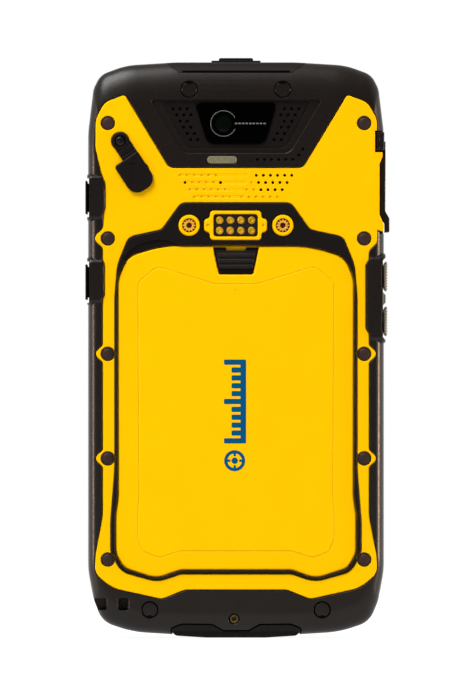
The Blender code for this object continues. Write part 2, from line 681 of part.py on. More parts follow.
def make_battery_side():
    """Battery, its connector, the door with its seal, and the sliding latch."""
    tub = rectangle(-BAY_HALF_WIDTH, BAY_HALF_WIDTH, BAY_LOW, BAY_HIGH, 2.0)
    node("battery_pack", prism(offset(tub, -0.4), BAY_FLOOR + GAP, 9.0), "grey")
    connector = box(-7.0, 7.0, BOARD_REAR + GAP, BAY_FLOOR, 92.0, 97.0)
    node("battery_connector", connector, "black")
    seal = prism(offset(tub, 1.7), 8.9, 9.4)
    cut(seal, prism(offset(tub, 1.0), 8, 11))
    node("door_seal", seal, "rubber")

    door = prism(rounded(mirrored(DOOR)), DOOR_INNER, DOOR_FACE)
    for side in (-1, 1):
        tab = side * HINGE_TAB_U
        join(door, box(tab - 3.0, tab + 3.0, DOOR_INNER, 10.05, HINGE_Z, 18.0))
    cut(door, prism(rounded(mirrored(LATCH_POCKET)), 10.2, BEYOND))
    node("battery_door", door, "yellow", (0, HINGE_Y, HINGE_Z))
    latch = prism(rounded(mirrored(LATCH)), 10.5, 11.0)
    for level in range(3):
        rib = 102.2 - 1.53 * level
        join(latch, box(-4.5, 4.5, 10.9, 11.3, rib - 0.45, rib + 0.45))
    node("door_latch", latch, "black", (0, 10.5, 101.0))


# ---------------------------------------------------------------- keys


def make_keys():
    """Every key is a cap, a flange that keeps it in and a stem that presses its switch."""
    names = ("upper_side_key", "lower_side_key", "volume_up_key", "volume_down_key")
    for name, (side, z, half) in zip(names, side_key_places()):
        tip = 40.3 if side < 0 else 40.5
        key = key_box(side, 37.9, tip, z, half, 2.3)
        join(key, key_box(side, 37.8, 38.3, z, half + 0.8, 3.0))
        join(key, rod("u", (KEY_LEVEL, z), STEM_RADIUS, side * 33.0, side * 38.0, 10))
        node(name, key, "grey" if side > 0 else "black", (side * 40.0, KEY_LEVEL, z))

    power = prism(rectangle(-4.6, 4.6, 153.0, 155.0, 0.5), -5.2, 2.2)
    join(power, rod("z", (0, KEY_LEVEL), STEM_RADIUS, 147.4, 153.5, 10))
    node("power_key", power, "black", (0, KEY_LEVEL, 155.0))

    for name, u in zip(("home_key", "back_key", "menu_key", "ok_key"), front_key_places()):
        cap = rectangle(u - 5.15, u + 5.15, FRONT_KEY_Z - 2.65, FRONT_KEY_Z + 2.65, 2.1)
        key = prism(cap, -12.4, -9.4)
        join(key, prism(offset(cap, 0.9), -9.7, -9.2))
        node(name, key, "rubber", (u, -12.4, FRONT_KEY_Z))


# ---------------------------------------------------------------- inside


def make_electronics():
    """Screen stack, boards and the modules on them."""
    node("display_window", prism(rectangle(-32, 32, 36, 140, 2.7), -11.9, -11.1), "glossy")
    node("display_module", box(-31, 31, -9.7, -6.5, 38.0, 139.0), "steel")
    node("keypad_membrane", box(-29, 29, -8.4, -7.4, 19.0, 29.0), "rubber")
    node("earpiece", prism(rectangle(-6.5, 6.5, 142.5, 147.2, 1.5), -9.7, -7.3), "black")

    board = box(-30.5, 30.5, BOARD_FRONT, BOARD_REAR, 30.0, 146.0)
    for side, z, _half in side_key_places():
        low, high = sorted((side * 28.0, side * 32.2))
        join(board, box(low, high, BOARD_REAR - 0.4, KEY_LEVEL + 1.4, z - 2.5, z + 2.5))
    join(board, box(-3.0, 3.0, BOARD_REAR - 0.4, KEY_LEVEL + 1.4, 142.5, 146.6))
    node("main_board", board, "green")
    node("board_shield", box(-24, 24, BOARD_REAR + GAP, -2.0, 40.0, 88.0), "steel")
    node("vibration_motor", rod("u", (-1.9, 34.5), 1.9, -22, -11, 12), "steel")

    camera = box(LENS[0] - 4.5, LENS[0] + 4.5, BOARD_REAR + GAP, 4.5, LENS[1] - 4.5, LENS[1] + 4.5)
    join(camera, rod("y", LENS, 3.5, 4.0, 9.8, 20))
    node("camera_module", camera, "glossy")
    patch = box(7.0, 24.0, 2.6, 6.8, 128.5, 145.5)
    join(patch, rod("y", (15.5, 137.0), 0.8, BOARD_REAR + GAP, 3.0, 8))
    node("gnss_antenna", patch, "ceramic")
    node("speaker", prism(rectangle(2.5, 16.5, 117.8, 124.8, 2.0), 4.4, 7.5), "black")

    cavity = rounded(mirrored(CAVITY))
    seal = prism(offset(cavity, -0.6), FRONT_WALL_END + GAP, REAR_WALL_START - GAP)
    cut(seal, prism(offset(cavity, -1.4), 0, 8))
    node("housing_seal", seal, "rubber")


def build():
    """Clear the scene, then model every piece."""
    for old in list(bpy.data.objects):
        bpy.data.objects.remove(old)
    make_front_housing()
    make_bumper()
    make_rear_housing()
    make_overmould()
    make_covers()
    make_fasteners()
    make_contacts()
    make_antenna_flap()
    make_ports()
    make_battery_side()
    make_keys()
    make_electronics()


build()
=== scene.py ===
"""Looks of the rugged data collector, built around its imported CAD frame.

The instrument stands on its lower edge: +Z runs up its length, the screen faces -Y and the
battery door +Y.  Outlines are drawn as seen from behind, with u running to the right, so
world X is -u.  Sizes are in millimetres, and MM turns them into metres.
"""

import math
from collections import namedtuple

import bmesh
import bpy
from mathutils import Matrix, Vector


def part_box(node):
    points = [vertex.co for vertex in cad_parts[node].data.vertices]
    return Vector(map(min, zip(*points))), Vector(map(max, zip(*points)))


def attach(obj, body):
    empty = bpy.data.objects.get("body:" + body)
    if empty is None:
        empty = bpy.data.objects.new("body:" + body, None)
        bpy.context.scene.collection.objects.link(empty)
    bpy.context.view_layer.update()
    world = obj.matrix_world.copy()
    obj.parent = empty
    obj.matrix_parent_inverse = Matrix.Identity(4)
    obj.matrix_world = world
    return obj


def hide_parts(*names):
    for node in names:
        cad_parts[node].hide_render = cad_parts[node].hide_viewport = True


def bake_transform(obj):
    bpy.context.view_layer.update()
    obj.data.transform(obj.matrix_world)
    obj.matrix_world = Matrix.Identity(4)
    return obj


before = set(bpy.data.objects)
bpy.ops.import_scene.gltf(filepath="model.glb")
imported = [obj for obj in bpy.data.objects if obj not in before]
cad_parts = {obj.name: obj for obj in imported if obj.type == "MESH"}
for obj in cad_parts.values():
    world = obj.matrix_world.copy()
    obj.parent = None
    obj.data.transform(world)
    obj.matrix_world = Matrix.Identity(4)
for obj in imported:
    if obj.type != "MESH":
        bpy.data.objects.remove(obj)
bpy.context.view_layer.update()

MM = 0.001
GAP = 0.3  # clearance between neighbouring pieces
CORNER_SEGMENTS = 6
BEYOND = 14.0  # past the rear of everything, where cutters end
BEYOND_SIDE = 46  # past the sides of everything
WALL = 1.5  # thickness of the walls of both shells
HINGE_TAB_U = 21  # middle of the hinge tabs of the battery door
DOCK_SINK = 0.25  # how far the rear of the dock pad lies under the chin

Span = namedtuple("Span", "u0 u1 y0 y1 z0 z1")


def span(name):
    """Extent of a CAD node in u, y and z."""
    low, high = (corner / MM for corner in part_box(name))
    return Span(-high.x, -low.x, low.y, high.y, low.z, high.z)


def middle(name):
    """(u, z) of the middle of a CAD node."""
    found = span(name)
    return (found.u0 + found.u1) / 2, (found.z0 + found.z1) / 2


# Layers through the thickness
FRONT_RIM = span("bumper_frame").y0
BEZEL_FACE = span("front_housing").y0
BEZEL_INNER = BEZEL_FACE + 2.0
FRONT_WALL_END = span("front_housing").y1
REAR_WALL_START = span("housing_seal").y1 + GAP
PLATE_INNER, FACE_ROOT, PLATE_STEP, LIP_INNER = 7.8, 8.6, 9.2, 9.5
PLATE_FACE = 11.4
BUMPER_REAR = 11.5
BAND_ROOT, BAND_FACE = span("rear_overmould").y0, span("rear_overmould").y1
DOOR_FACE = span("battery_door").y1
DOOR_SEAT = 9.3
KEY_LEVEL = -2.5

# Places of shared features, as (u, z)
SCREWS = [f"rear_screw_{index:02d}" for index in range(1, 11)]
SCREW_PLACES = [middle(name) for name in SCREWS]
SCREW_LEVELS = sorted(z for u, z in SCREW_PLACES if u > 0)
PLUGS = [f"cap_plug_{index:02d}" for index in range(1, 5)]
INSERTS = ("threaded_insert_left", "threaded_insert_right")
CONTACT = middle("contact_insert")
FLASH = middle("flash_lens")
LENS = (-3.35, 137.3)
ANCHOR = middle("antenna_flap_screw")
JACK = middle("antenna_jack")
JACK_ANGLE = math.atan2(JACK[1] - ANCHOR[1], JACK[0] - ANCHOR[0])
STRAP_FACE = 12.2
SIDE_KEYS = ("upper_side_key", "lower_side_key")
VOLUME_KEYS = ("volume_up_key", "volume_down_key")
FRONT_KEYS = ("home_key", "back_key", "menu_key", "ok_key")

# Outlines as (u, z) or (u, z, corner radius); a half outline is mirrored about u = 0
SILHOUETTE = (
    (16, 153.7, 47), (29.3, 152.9, 19), (36.2, 150.4, 8.8), (38.1, 146.6, 6), (39.5, 135, 28),
    (39.5, 18, 22), (38.0, 9.8, 11.4), (35.7, 4.2, 11.8), (27.7, 1.5, 29), (16, 0.8, 34),
)
CAVITY = ((33.0, 149.0, 5), (36.6, 142.6, 6), (37.2, 134.0, 12), (37.2, 12.5, 4))
DOOR = (
    (19.5, 104.5, 30), (29.0, 101.6, 6), (31.4, 95.6, 8), (31.3, 37.5, 20),
    (32.0, 33, 10), (32.0, 22.6, 5), (29.8, 18.7, 4), (21.2, 15.9, 7), (15.0, 18.2, 4),
)
PLATEAU = (
    (5.6, 94.6, 1.5), (21.0, 99.4, 3), (26.3, 95.0, 3), (26.0, 37.5, 20),
    (26.4, 33, 10), (26.4, 26.6, 2), (25.0, 23.0, 2), (20.5, 21.2, 3), (15.0, 23.0, 3),
)
OVERMOULD = (
    (14.6, 116.1, 2.5), (19.8, 108.9, 2.5), (28.6, 107.0, 3), (31.6, 99.5, 12),
    (32.3, 91.0, 25), (32.3, 45, 60), (33.4, 31, 20), (33.4, 22.6, 5), (30.6, 17.7, 5),
    (21.0, 15.0, 8), (14.8, 17.1, 4),
)
SCOOP = (
    (-30.4, 100.6, 1), (-29.3, 103.4, 2), (-26.2, 105.7, 2), (-20.8, 107.0, 1),
    (-17.4, 106.4, 1), (-14.0, 104.0, 0.5), (-20.0, 103.2, 2), (-28.0, 101.0, 2),
)
RECESS_MOUTH = ((23.2, 143.9, 0.8), (14.4, 129.3, 3.0))
RECESS_FLOOR = ((19.9, 143.3, 0.6), (13.3, 130.8, 2.4))
CAMERA_WINDOW = ((10.9, 142.8, 1.0), (7.6, 131.9, 2.5))
LATCH_POCKET = ((6.8, 106.0, 0.4), (4.8, 96.7, 0.8))
LATCH = ((5.5, 103.4, 0.4), (4.5, 98.6, 0.6))
TOP_PLATE = ((28.0, 160.0, 0.4), (15.0, 150.9, 0.8))
CHEEK = (
    (34.0, 108.9), (37.7, 108.9), (39.3, 108.4), (39.5, 110.3, 0.6), (38.2, 113.2, 2),
    (38.2, 126.3, 2), (39.1, 128.4, 0.5), (39.1, 129.6), (34.0, 129.6),
)
PORT_DOOR = (
    (39.4, 129.85), (39.4, 128.2), (38.6, 126.4, 1), (38.6, 113.3, 1), (39.8, 110.6, 1),
    (39.8, 108.3), (41.0, 108.3, 0.3), (41.0, 112.0, 0.5), (39.9, 113.9, 1), (40.0, 129.85),
)


# ---------------------------------------------------------------- outlines


def ear(side, z):
    """Corners of the small ear round one screw, on the side u has the sign of."""
    return (side * 35.5, z - 2.3, 1.0), (side * 38.0, z, 1.4), (side * 35.5, z + 2.3, 1.0)


def rear_face_corners():
    """Corners of the yellow rear face, clockwise from the left of its lower edge."""
    left = [
        (-13.6, 12.9, 4), (-19.8, 10.4, 3), (-33.4, 13.4, 12), (-37.7, 17.4, 4),
        (-37.4, 22.5, 10), (-35.5, 32.5, 15), *ear(-1, SCREW_LEVELS[1]), *ear(-1, SCREW_LEVELS[2]),
        (-35.5, 90.4, 1), (-35.0, 91.4, 1), (-35.0, 99.8, 1), (-35.5, 100.8, 1),
        (-35.5, 104.0, 1), (-38.2, 106.6, 1.4), (-35.4, 109.4, 2), (-35.3, 113.2, 2),
        (-34.8, 114.8, 2), (-34.8, 121.2, 2), (-35.9, 124.0, 3), (-37.5, 130.8, 8),
        (-37.4, 138.5, 6), (-35.0, 142.9, 4), (-29.7, 144.9, 0.8), (-17.9, 125.4, 2.5),
    ]
    right = [
        (17.9, 125.4, 2.5), (29.7, 144.9, 0.8), (35.0, 142.9, 4), (37.6, 138.5, 5),
        (37.6, 135.4), (37.1, 135.4), (37.1, 129.6), (39.1, 129.6), (39.1, 128.4, 0.5),
        (38.2, 126.3, 2), (38.2, 113.2, 2), (39.5, 110.3, 0.6), (39.3, 108.4), (37.7, 108.9),
        (37.7, 105.6, 2), (35.5, 103.2, 2), (35.5, 100.9, 0.7), (34.6, 99.5, 0.9),
        (34.6, 82.5, 0.9), (35.5, 81.1, 0.7), *reversed(ear(1, SCREW_LEVELS[2])),
        *reversed(ear(1, SCREW_LEVELS[1])), (35.5, 32.5, 15), (37.4, 22.5, 10), (37.7, 17.4, 4),
        (33.4, 13.4, 12), (19.8, 10.4, 3), (13.6, 12.9, 4),
    ]
    return left + right


def around(centre, radius, angle):
    """Point on a circle."""
    return centre[0] + radius * math.cos(angle), centre[1] + radius * math.sin(angle)


def rounded(corners):
    """Closed outline through the corners, each with a radius turned into an arc."""
    points = []
    count = len(corners)
    for index, corner in enumerate(corners):
        u, z = corner[:2]
        radius = corner[2] if len(corner) > 2 else 0.0
        if radius == 0.0:
            points.append((u, z))
            continue
        before = corners[index - 1]
        after = corners[(index + 1) % count]
        back = (before[0] - u, before[1] - z)
        ahead = (after[0] - u, after[1] - z)
        back_length = math.hypot(*back)
        ahead_length = math.hypot(*ahead)
        back = (back[0] / back_length, back[1] / back_length)
        ahead = (ahead[0] / ahead_length, ahead[1] / ahead_length)
        cosine = max(-1.0, min(1.0, back[0] * ahead[0] + back[1] * ahead[1]))
        turn = math.pi - math.acos(cosine)
        reach = radius * math.tan(turn / 2)
        longest = 0.48 * min(back_length, ahead_length)
        if reach > longest:
            radius *= longest / reach
            reach = longest
        bisector = (back[0] + ahead[0], back[1] + ahead[1])
        stretch = math.hypot(radius, reach) / math.hypot(*bisector)
        centre = (u + bisector[0] * stretch, z + bisector[1] * stretch)
        first = math.atan2(z + back[1] * reach - centre[1], u + back[0] * reach - centre[0])
        last = math.atan2(z + ahead[1] * reach - centre[1], u + ahead[0] * reach - centre[0])
        sweep = (last - first + math.pi) % (2 * math.pi) - math.pi
        for part in range(CORNER_SEGMENTS + 1):
            angle = first + sweep * part / CORNER_SEGMENTS
            points.append(around(centre, radius, angle))
    return points


def mirrored(half):
    """Corners of a whole outline from its half at u > 0, top to bottom."""
    return list(half) + [(-corner[0], *corner[1:]) for corner in reversed(half)]


def whole(half):
    """Rounded outline of a shape that is the same on both sides."""
    return rounded(mirrored(half))


def offset(loop, distance):
    """The closed outline grown by distance, or shrunk where distance is negative."""
    count = len(loop)
    area = sum(
        loop[i - 1][0] * loop[i][1] - loop[i][0] * loop[i - 1][1] for i in range(count)
    )
    side = distance if area > 0 else -distance
    grown = []
    for index, (u, z) in enumerate(loop):
        before = loop[index - 1]
        after = loop[(index + 1) % count]
        first = math.atan2(z - before[1], u - before[0])
        second = math.atan2(after[1] - z, after[0] - u)
        turn = (second - first + math.pi) % (2 * math.pi) - math.pi
        across = first + turn / 2 - math.pi / 2
        reach = side / max(0.3, math.cos(turn / 2))
        grown.append((u + reach * math.cos(across), z + reach * math.sin(across)))
    return grown


def rectangle(u0, u1, z0, z1, radius=0.0):
    """Rounded rectangle as an outline."""
    return rounded([(u0, z0, radius), (u1, z0, radius), (u1, z1, radius), (u0, z1, radius)])


def tile(place, half_u, half_z, radius=0.0):
    """Rounded rectangle around its centre."""
    return rectangle(place[0] - half_u, place[0] + half_u, place[1] - half_z, place[1] + half_z,
                     radius)


def footprint(extent, radius, grow=0.0):
    """Rounded rectangle over the extent of a CAD node, grown by a margin."""
    return rectangle(extent.u0 - grow, extent.u1 + grow, extent.z0 - grow, extent.z1 + grow,
                     radius)


def circle(place, radius, segments=40):
    """Outline of a circle."""
    step = 2 * math.pi / segments
    return [around(place, radius, i * step) for i in range(segments)]


def scaled_inset(loop, side_inset, low_inset, high_inset):
    """The silhouette drawn in evenly, by different amounts at its sides, foot and head."""
    half = max(u for u, z in loop)
    low = min(z for u, z in loop)
    high = max(z for u, z in loop)
    across = (half - side_inset) / half
    along = 1 - (low_inset + high_inset) / (high - low)
    return [(u * across, low + low_inset + (z - low) * along) for u, z in loop]


def between(first, second, share):
    """Outline part of the way from one outline to another with as many points."""
    return [
        (a[0] + (b[0] - a[0]) * share, a[1] + (b[1] - a[1]) * share)
        for a, b in zip(first, second)
    ]


def quarter(radius, steps=4):
    """(rise, inset) along a quarter round, from its side to its face."""
    turns = [math.pi / 2 * step / steps for step in range(steps + 1)]
    return [(radius * math.sin(turn), radius * (1 - math.cos(turn))) for turn in turns]


# ---------------------------------------------------------------- solids


def solid(rings):
    """Closed solid through rings of world points, capped at both ends."""
    mesh = bpy.data.meshes.new("form")
    form = bmesh.new()
    rows = [[form.verts.new(point) for point in ring] for ring in rings]
    form.faces.new(rows[0])
    form.faces.new(rows[-1])
    count = len(rows[0])
    for lower, upper in zip(rows, rows[1:]):
        for i in range(count):
            following = (i + 1) % count
            form.faces.new((lower[i], lower[following], upper[following], upper[i]))
    bmesh.ops.recalc_face_normals(form, faces=form.faces)
    form.to_mesh(mesh)
    form.free()
    made = bpy.data.objects.new("form", mesh)
    bpy.context.scene.collection.objects.link(made)
    return made


def loft(sections):
    """Solid through (y, outline) sections with equal numbers of points."""
    return solid([[(-u * MM, y * MM, z * MM) for u, z in loop] for y, loop in sections])


def prism(loop, y0, y1):
    """Outline extruded through the thickness."""
    return loft([(y0, loop), (y1, loop)])


def box(u0, u1, y0, y1, z0, z1):
    """Plain block."""
    return prism([(u0, z0), (u1, z0), (u1, z1), (u0, z1)], y0, y1)


def stem(u0, u1, half, z0, z1):
    """Bar across the thickness at the level of the switches."""
    return box(u0, u1, KEY_LEVEL - half, KEY_LEVEL + half, z0, z1)


def rod(place, radius, y0, y1, segments=40):
    """Cylinder through the thickness."""
    return prism(circle(place, radius, segments), y0, y1)


def turned(place, profile, segments=40):
    """Turned solid along y, through (radius, y) points."""
    return loft([(y, circle(place, radius, segments)) for radius, y in profile])


def plate(loop, base, face, edge=0.3):
    """Slab from base to face, with the edge of its face rounded over."""
    way = 1 if face > base else -1
    rounds = [(face - way * (edge - rise), offset(loop, -inset)) for rise, inset in quarter(edge)]
    return loft([(base, loop), *rounds])


def bar(loop, y0, y1, edge=0.3):
    """Prism with the edges of both its ends rounded over."""
    first = [(y0 + edge - rise, offset(loop, -inset)) for rise, inset in quarter(edge)]
    last = [(y1 - edge + rise, offset(loop, -inset)) for rise, inset in quarter(edge)]
    return loft(first[::-1] + last)


def pocket(loop, floor, mouth, edge=0.2):
    """Cutter for a recess with a flat floor and a rounded mouth."""
    way = 1 if mouth > floor else -1
    clear = 0.004
    rounds = [
        (mouth + way * (clear + rise - edge), offset(loop, inset)) for rise, inset in quarter(edge)
    ]
    return loft([(floor, loop), *rounds, (mouth + way * 3.0, offset(loop, edge))])


def cushion(wide, narrow, root, shoulder, face):
    """Boss that rounds over from a wide outline at its shoulder to a narrow one at its face."""
    rounds = [
        (shoulder + (face - shoulder) * rise, between(wide, narrow, inset))
        for rise, inset in quarter(1.0, 6)
    ]
    return loft([(root, wide), *rounds])


def gathered(forms):
    """Several solids as one object."""
    together = bmesh.new()
    for form in forms:
        together.from_mesh(form.data)
    first, *others = forms
    together.to_mesh(first.data)
    together.free()
    for form in others:
        bpy.data.objects.remove(form)
    return first


def combined(target, operation, tools):
    """Apply one Boolean with all the tools, which mustn't touch each other."""
    tool = gathered(list(tools))
    modifier = target.modifiers.new("Boolean", "BOOLEAN")
    modifier.operation = operation
    modifier.solver = "EXACT"
    modifier.object = tool
    graph = bpy.context.evaluated_depsgraph_get()
    result = bpy.data.meshes.new_from_object(target.evaluated_get(graph))
    target.modifiers.clear()
    target.data = result
    bpy.data.objects.remove(tool)


def cut(target, *tools):
    """Take the tools out of the target, and use them up."""
    combined(target, "DIFFERENCE", tools)


def join(target, *tools):
    """Add the tools to the target, and use them up."""
    combined(target, "UNION", tools)


def sliced(form, point, normal, reaches):
    """Add edge loops across the form where planes at these reaches cross it."""
    work = bmesh.new()
    work.from_mesh(form.data)
    for reach in reaches:
        place = [(point[i] + normal[i] * reach) * MM for i in range(3)]
        everything = work.verts[:] + work.edges[:] + work.faces[:]
        bmesh.ops.bisect_plane(work, geom=everything, plane_co=place, plane_no=normal)
    bmesh.ops.triangulate(work, faces=[face for face in work.faces if len(face.verts) > 4])
    work.to_mesh(form.data)
    work.free()


# ---------------------------------------------------------------- materials


class Graph:
    """Small helper that adds linked shader nodes to a material."""

    def __init__(self, name):
        self.material = bpy.data.materials.new(name)
        self.material.use_nodes = True
        self.tree = self.material.node_tree
        self.shader = self.tree.nodes["Principled BSDF"]

    def add(self, kind, values=(), **settings):
        """Node of this kind; values maps an input to a constant or to an output to link."""
        node = self.tree.nodes.new(kind)
        for key, value in settings.items():
            setattr(node, key, value)
        for key, value in dict(values).items():
            self.feed(node.inputs[key], value)
        return node

    def feed(self, socket, value):
        """Link an output to the socket, or set the socket to a constant."""
        if isinstance(value, bpy.types.NodeSocket):
            self.tree.links.new(value, socket)
        else:
            socket.default_value = value

    def noise(self, size, detail=2.0, stretch=(1.0, 1.0, 1.0)):
        """Noise with grains of about this size, in millimetres."""
        place = self.add("ShaderNodeTexCoord").outputs["Object"]
        scaled = self.add("ShaderNodeMapping", {"Vector": place, "Scale": stretch})
        values = {"Vector": scaled.outputs["Vector"], "Scale": 1 / (size * MM), "Detail": detail}
        return self.add("ShaderNodeTexNoise", values).outputs["Fac"]

    def ramp(self, value, low, high, start=0.3, end=0.7):
        """The value moved from the range start to end into the range low to high."""
        values = {
            "Value": value, "From Min": start, "From Max": end, "To Min": low, "To Max": high,
        }
        return self.add("ShaderNodeMapRange", values).outputs["Result"]

    def finished(self, values):
        """The material, once the inputs of its shader are fed with these values."""
        for key, value in values.items():
            self.feed(self.shader.inputs[key], value)
        return self.material

    def mix(self, share, first, second):
        """Blend of two colours."""
        node = self.add("ShaderNodeMix", data_type="RGBA")
        sockets = [s for s in node.inputs if s.enabled]
        for socket, value in zip(sockets, (share, first, second)):
            self.feed(socket, value)
        return next(s for s in node.outputs if s.enabled)


def shade(colour, factor):
    """The colour made lighter or darker by a factor, with alpha."""
    return (*(min(1.0, channel * factor) for channel in colour), 1.0)


def moulded(name, colour, roughness, specular=0.5, grain=0.25, height=0.006, mottle=0.05,
            edge_wear_and_painted_highlight=None, metallic=0.0, soft_edge=0.12):
    """Moulded or machined surface: fine grain, slight unevenness, and a lighter colour along its
    edges, partly from rubbing and partly a painted highlight.
    """
    graph = Graph(name)
    broad = graph.noise(9.0)
    fine = graph.noise(grain, 3.0)
    tint = graph.mix(graph.ramp(broad, 0, 1), shade(colour, 1 - mottle), shade(colour, 1 + mottle))
    edge = graph.add("ShaderNodeBevel", {"Radius": soft_edge * MM}, samples=4).outputs["Normal"]
    # Edges lighter in patches: partly rubbing, partly a painted highlight where rounded edges catch
    # the light
    if edge_wear_and_painted_highlight:
        true_normal = graph.add("ShaderNodeNewGeometry").outputs["Normal"]
        edge_dot = graph.add("ShaderNodeVectorMath", {0: edge, 1: true_normal}, operation="DOT_PRODUCT")
        mask = graph.ramp(edge_dot.outputs["Value"], 0.8, 0.0, 0.86, 0.995)
        patchy = graph.add("ShaderNodeMath", {0: mask, 1: graph.ramp(graph.noise(1.2), 0.1, 1)},
                           operation="MULTIPLY")
        tint = graph.mix(patchy.outputs[0], tint, (*edge_wear_and_painted_highlight, 1.0))
    uneven = graph.ramp(fine, roughness - 0.05, roughness + 0.07)
    values = {"Strength": 0.6, "Distance": height * MM, "Height": fine, "Normal": edge}
    bump = graph.add("ShaderNodeBump", values)
    return graph.finished({
        "Base Color": tint, "Roughness": uneven, "Normal": bump.outputs["Normal"],
        "Metallic": metallic, "Specular IOR Level": specular,
    })


def glass(name, colour, roughness, specular=0.3, coat=1.0):
    """Glossy window: nearly black, with faint smears in its gloss."""
    graph = Graph(name)
    smear = graph.noise(7.0, 4.0, (1.0, 1.0, 0.35))
    tint = graph.mix(graph.ramp(smear, 0, 1), shade(colour, 0.8), shade(colour, 1.25))
    return graph.finished({
        "Base Color": tint, "Roughness": graph.ramp(smear, roughness, roughness + 0.05),
        "Specular IOR Level": specular, "Coat Weight": coat, "Coat Roughness": 0.02,
    })


def circuit(name, colour, roughness):
    """Solder mask with faint copper runs under it."""
    graph = Graph(name)
    runs = graph.add("ShaderNodeTexBrick", {
        "Vector": graph.add("ShaderNodeTexCoord").outputs["Object"], "Scale": 260.0,
        "Color1": (*colour, 1), "Color2": (0.01, 0.12, 0.05, 1), "Mortar": (0.03, 0.2, 0.07, 1),
        "Mortar Size": 0.04,
    })
    grime = graph.ramp(graph.noise(5.0), 0.0, 0.35)
    return graph.finished({
        "Base Color": graph.mix(grime, runs.outputs["Color"], (0.006, 0.05, 0.03, 1)),
        "Roughness": graph.ramp(graph.noise(0.4), roughness, roughness + 0.15),
    })


def made(rows):
    """Materials by name, from rows of their maker, colour, roughness and other settings."""
    return {name: maker(name, colour, roughness, **settings)
            for name, (maker, colour, roughness, settings) in rows.items()}


# Lighter colours along the edges of black and yellow parts: partly rubbing, partly painted highlight
BLACK_EDGE_WEAR_AND_PAINTED_HIGHLIGHT = (0.032, 0.027, 0.022)

# Every finish, by the name of its slot in the record
FINISHES = made({
    "yellow_plastic": (moulded, (0.79, 0.425, 0.0), 0.5, dict(
        specular=0.02, grain=0.3, height=0.004, mottle=0.012, edge_wear_and_painted_highlight=(0.97, 0.66, 0.03),
        soft_edge=0.2)),
    "black_plastic": (moulded, (0.006, 0.0035, 0.0026), 0.45, dict(
        specular=0.22, grain=0.22, height=0.012, mottle=0.12, edge_wear_and_painted_highlight=BLACK_EDGE_WEAR_AND_PAINTED_HIGHLIGHT)),
    "black_rubber": (moulded, (0.0046, 0.0024, 0.0012), 0.32, dict(
        specular=0.25, grain=0.3, height=0.016, mottle=0.12, edge_wear_and_painted_highlight=BLACK_EDGE_WEAR_AND_PAINTED_HIGHLIGHT)),
    "screen_glass": (glass, (0.004, 0.004, 0.005), 0.04, {}),
    "camera_glass": (glass, (0.0002, 0.0002, 0.0002), 0.05, dict(specular=0.02, coat=0.0)),
    "camera_barrel": (moulded, (0.006, 0.007, 0.008), 0.3, dict(mottle=0.1, height=0.003)),
    "flash_diffuser": (moulded, (0.17, 0.155, 0.09), 0.35, dict(
        specular=0.3, mottle=0.08, height=0.01)),
    "gold_contacts": (moulded, (0.6, 0.33, 0.02), 0.5, dict(metallic=1.0, mottle=0.15)),
    "brass_inserts": (moulded, (1.0, 0.5, 0.07), 0.5, dict(metallic=1.0, mottle=0.15)),
    "steel": (moulded, (0.3, 0.3, 0.31), 0.34, dict(metallic=1.0, mottle=0.06)),
    "circuit_board": (circuit, (0.008, 0.09, 0.04), 0.25, {}),
    "battery_wrap": (moulded, (0.05, 0.05, 0.055), 0.45, dict(mottle=0.08, grain=0.5)),
    "antenna_ceramic": (moulded, (0.72, 0.68, 0.6), 0.5, dict(mottle=0.04, grain=0.4)),
    "screw_brown": (moulded, (0.024, 0.0105, 0.0075), 0.5, dict(
        specular=0.2, mottle=0.15, height=0.008)),
    "ribbed_grey": (moulded, (0.42, 0.38, 0.29), 0.5, dict(mottle=0.06)),
})

# Printed inks and the lens coating, on thin pieces of their own that have no slot
INKS = made({
    "ink_blue": (moulded, (0.0, 0.062, 0.15), 0.5, dict(specular=0.05, mottle=0.03)),
    "ink_grey": (moulded, (0.11, 0.12, 0.11), 0.5, dict(specular=0.1, mottle=0.05)),
    "ink_white": (moulded, (0.6, 0.6, 0.58), 0.5, dict(specular=0.2, mottle=0.03)),
    "ink_screen": (glass, (0.012, 0.013, 0.016), 0.12, dict(coat=0.3)),
    "lens_coating": (glass, (0.0009, 0.002, 0.0012), 0.1, dict(specular=0.06, coat=0.0)),
})

# Variants of some finishes, for pieces that are darker than others of their finish; shadow_plastic,
# bore_shadow and dull_brass are painted shade
LOOKS = made({
    "dark_rubber": (moulded, (0.003, 0.0013, 0.001), 0.5, dict(
        specular=0.13, grain=0.3, height=0.01, mottle=0.1, edge_wear_and_painted_highlight=(0.02, 0.017, 0.014))),
    "shadow_plastic": (moulded, (0.0008, 0.0006, 0.0005), 0.7, dict(specular=0.03, mottle=0.1)),
    "dark_steel": (moulded, (0.025, 0.023, 0.023), 0.35, dict(metallic=1.0)),
    "bore_shadow": (moulded, (0.045, 0.008, 0.003), 0.6, dict(specular=0.05)),
    "dull_brass": (moulded, (0.1, 0.07, 0.025), 0.45, dict(metallic=1.0, mottle=0.15)),
})


def piece(name, form, finish, body="housing", stands_for=None, sharp=32.0, look=None):
    """Give a finished form its name, shading, material and body, and hide the CAD nodes it stands
    for.

    The look, where it is given, is a variant of the finish.
    """
    form.name = name
    form.data.name = name
    form.data.materials.clear()
    form.data.materials.append(LOOKS[look] if look else FINISHES.get(finish) or INKS[finish])
    form.data.shade_smooth()
    form.data.set_sharp_from_angle(angle=math.radians(sharp))
    weighted = form.modifiers.new("Weighted normals", "WEIGHTED_NORMAL")
    weighted.keep_sharp = True
    if stands_for:
        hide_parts(*([stands_for] if isinstance(stands_for, str) else stands_for))
    if body:
        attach(form, body)


# ---------------------------------------------------------------- bumper


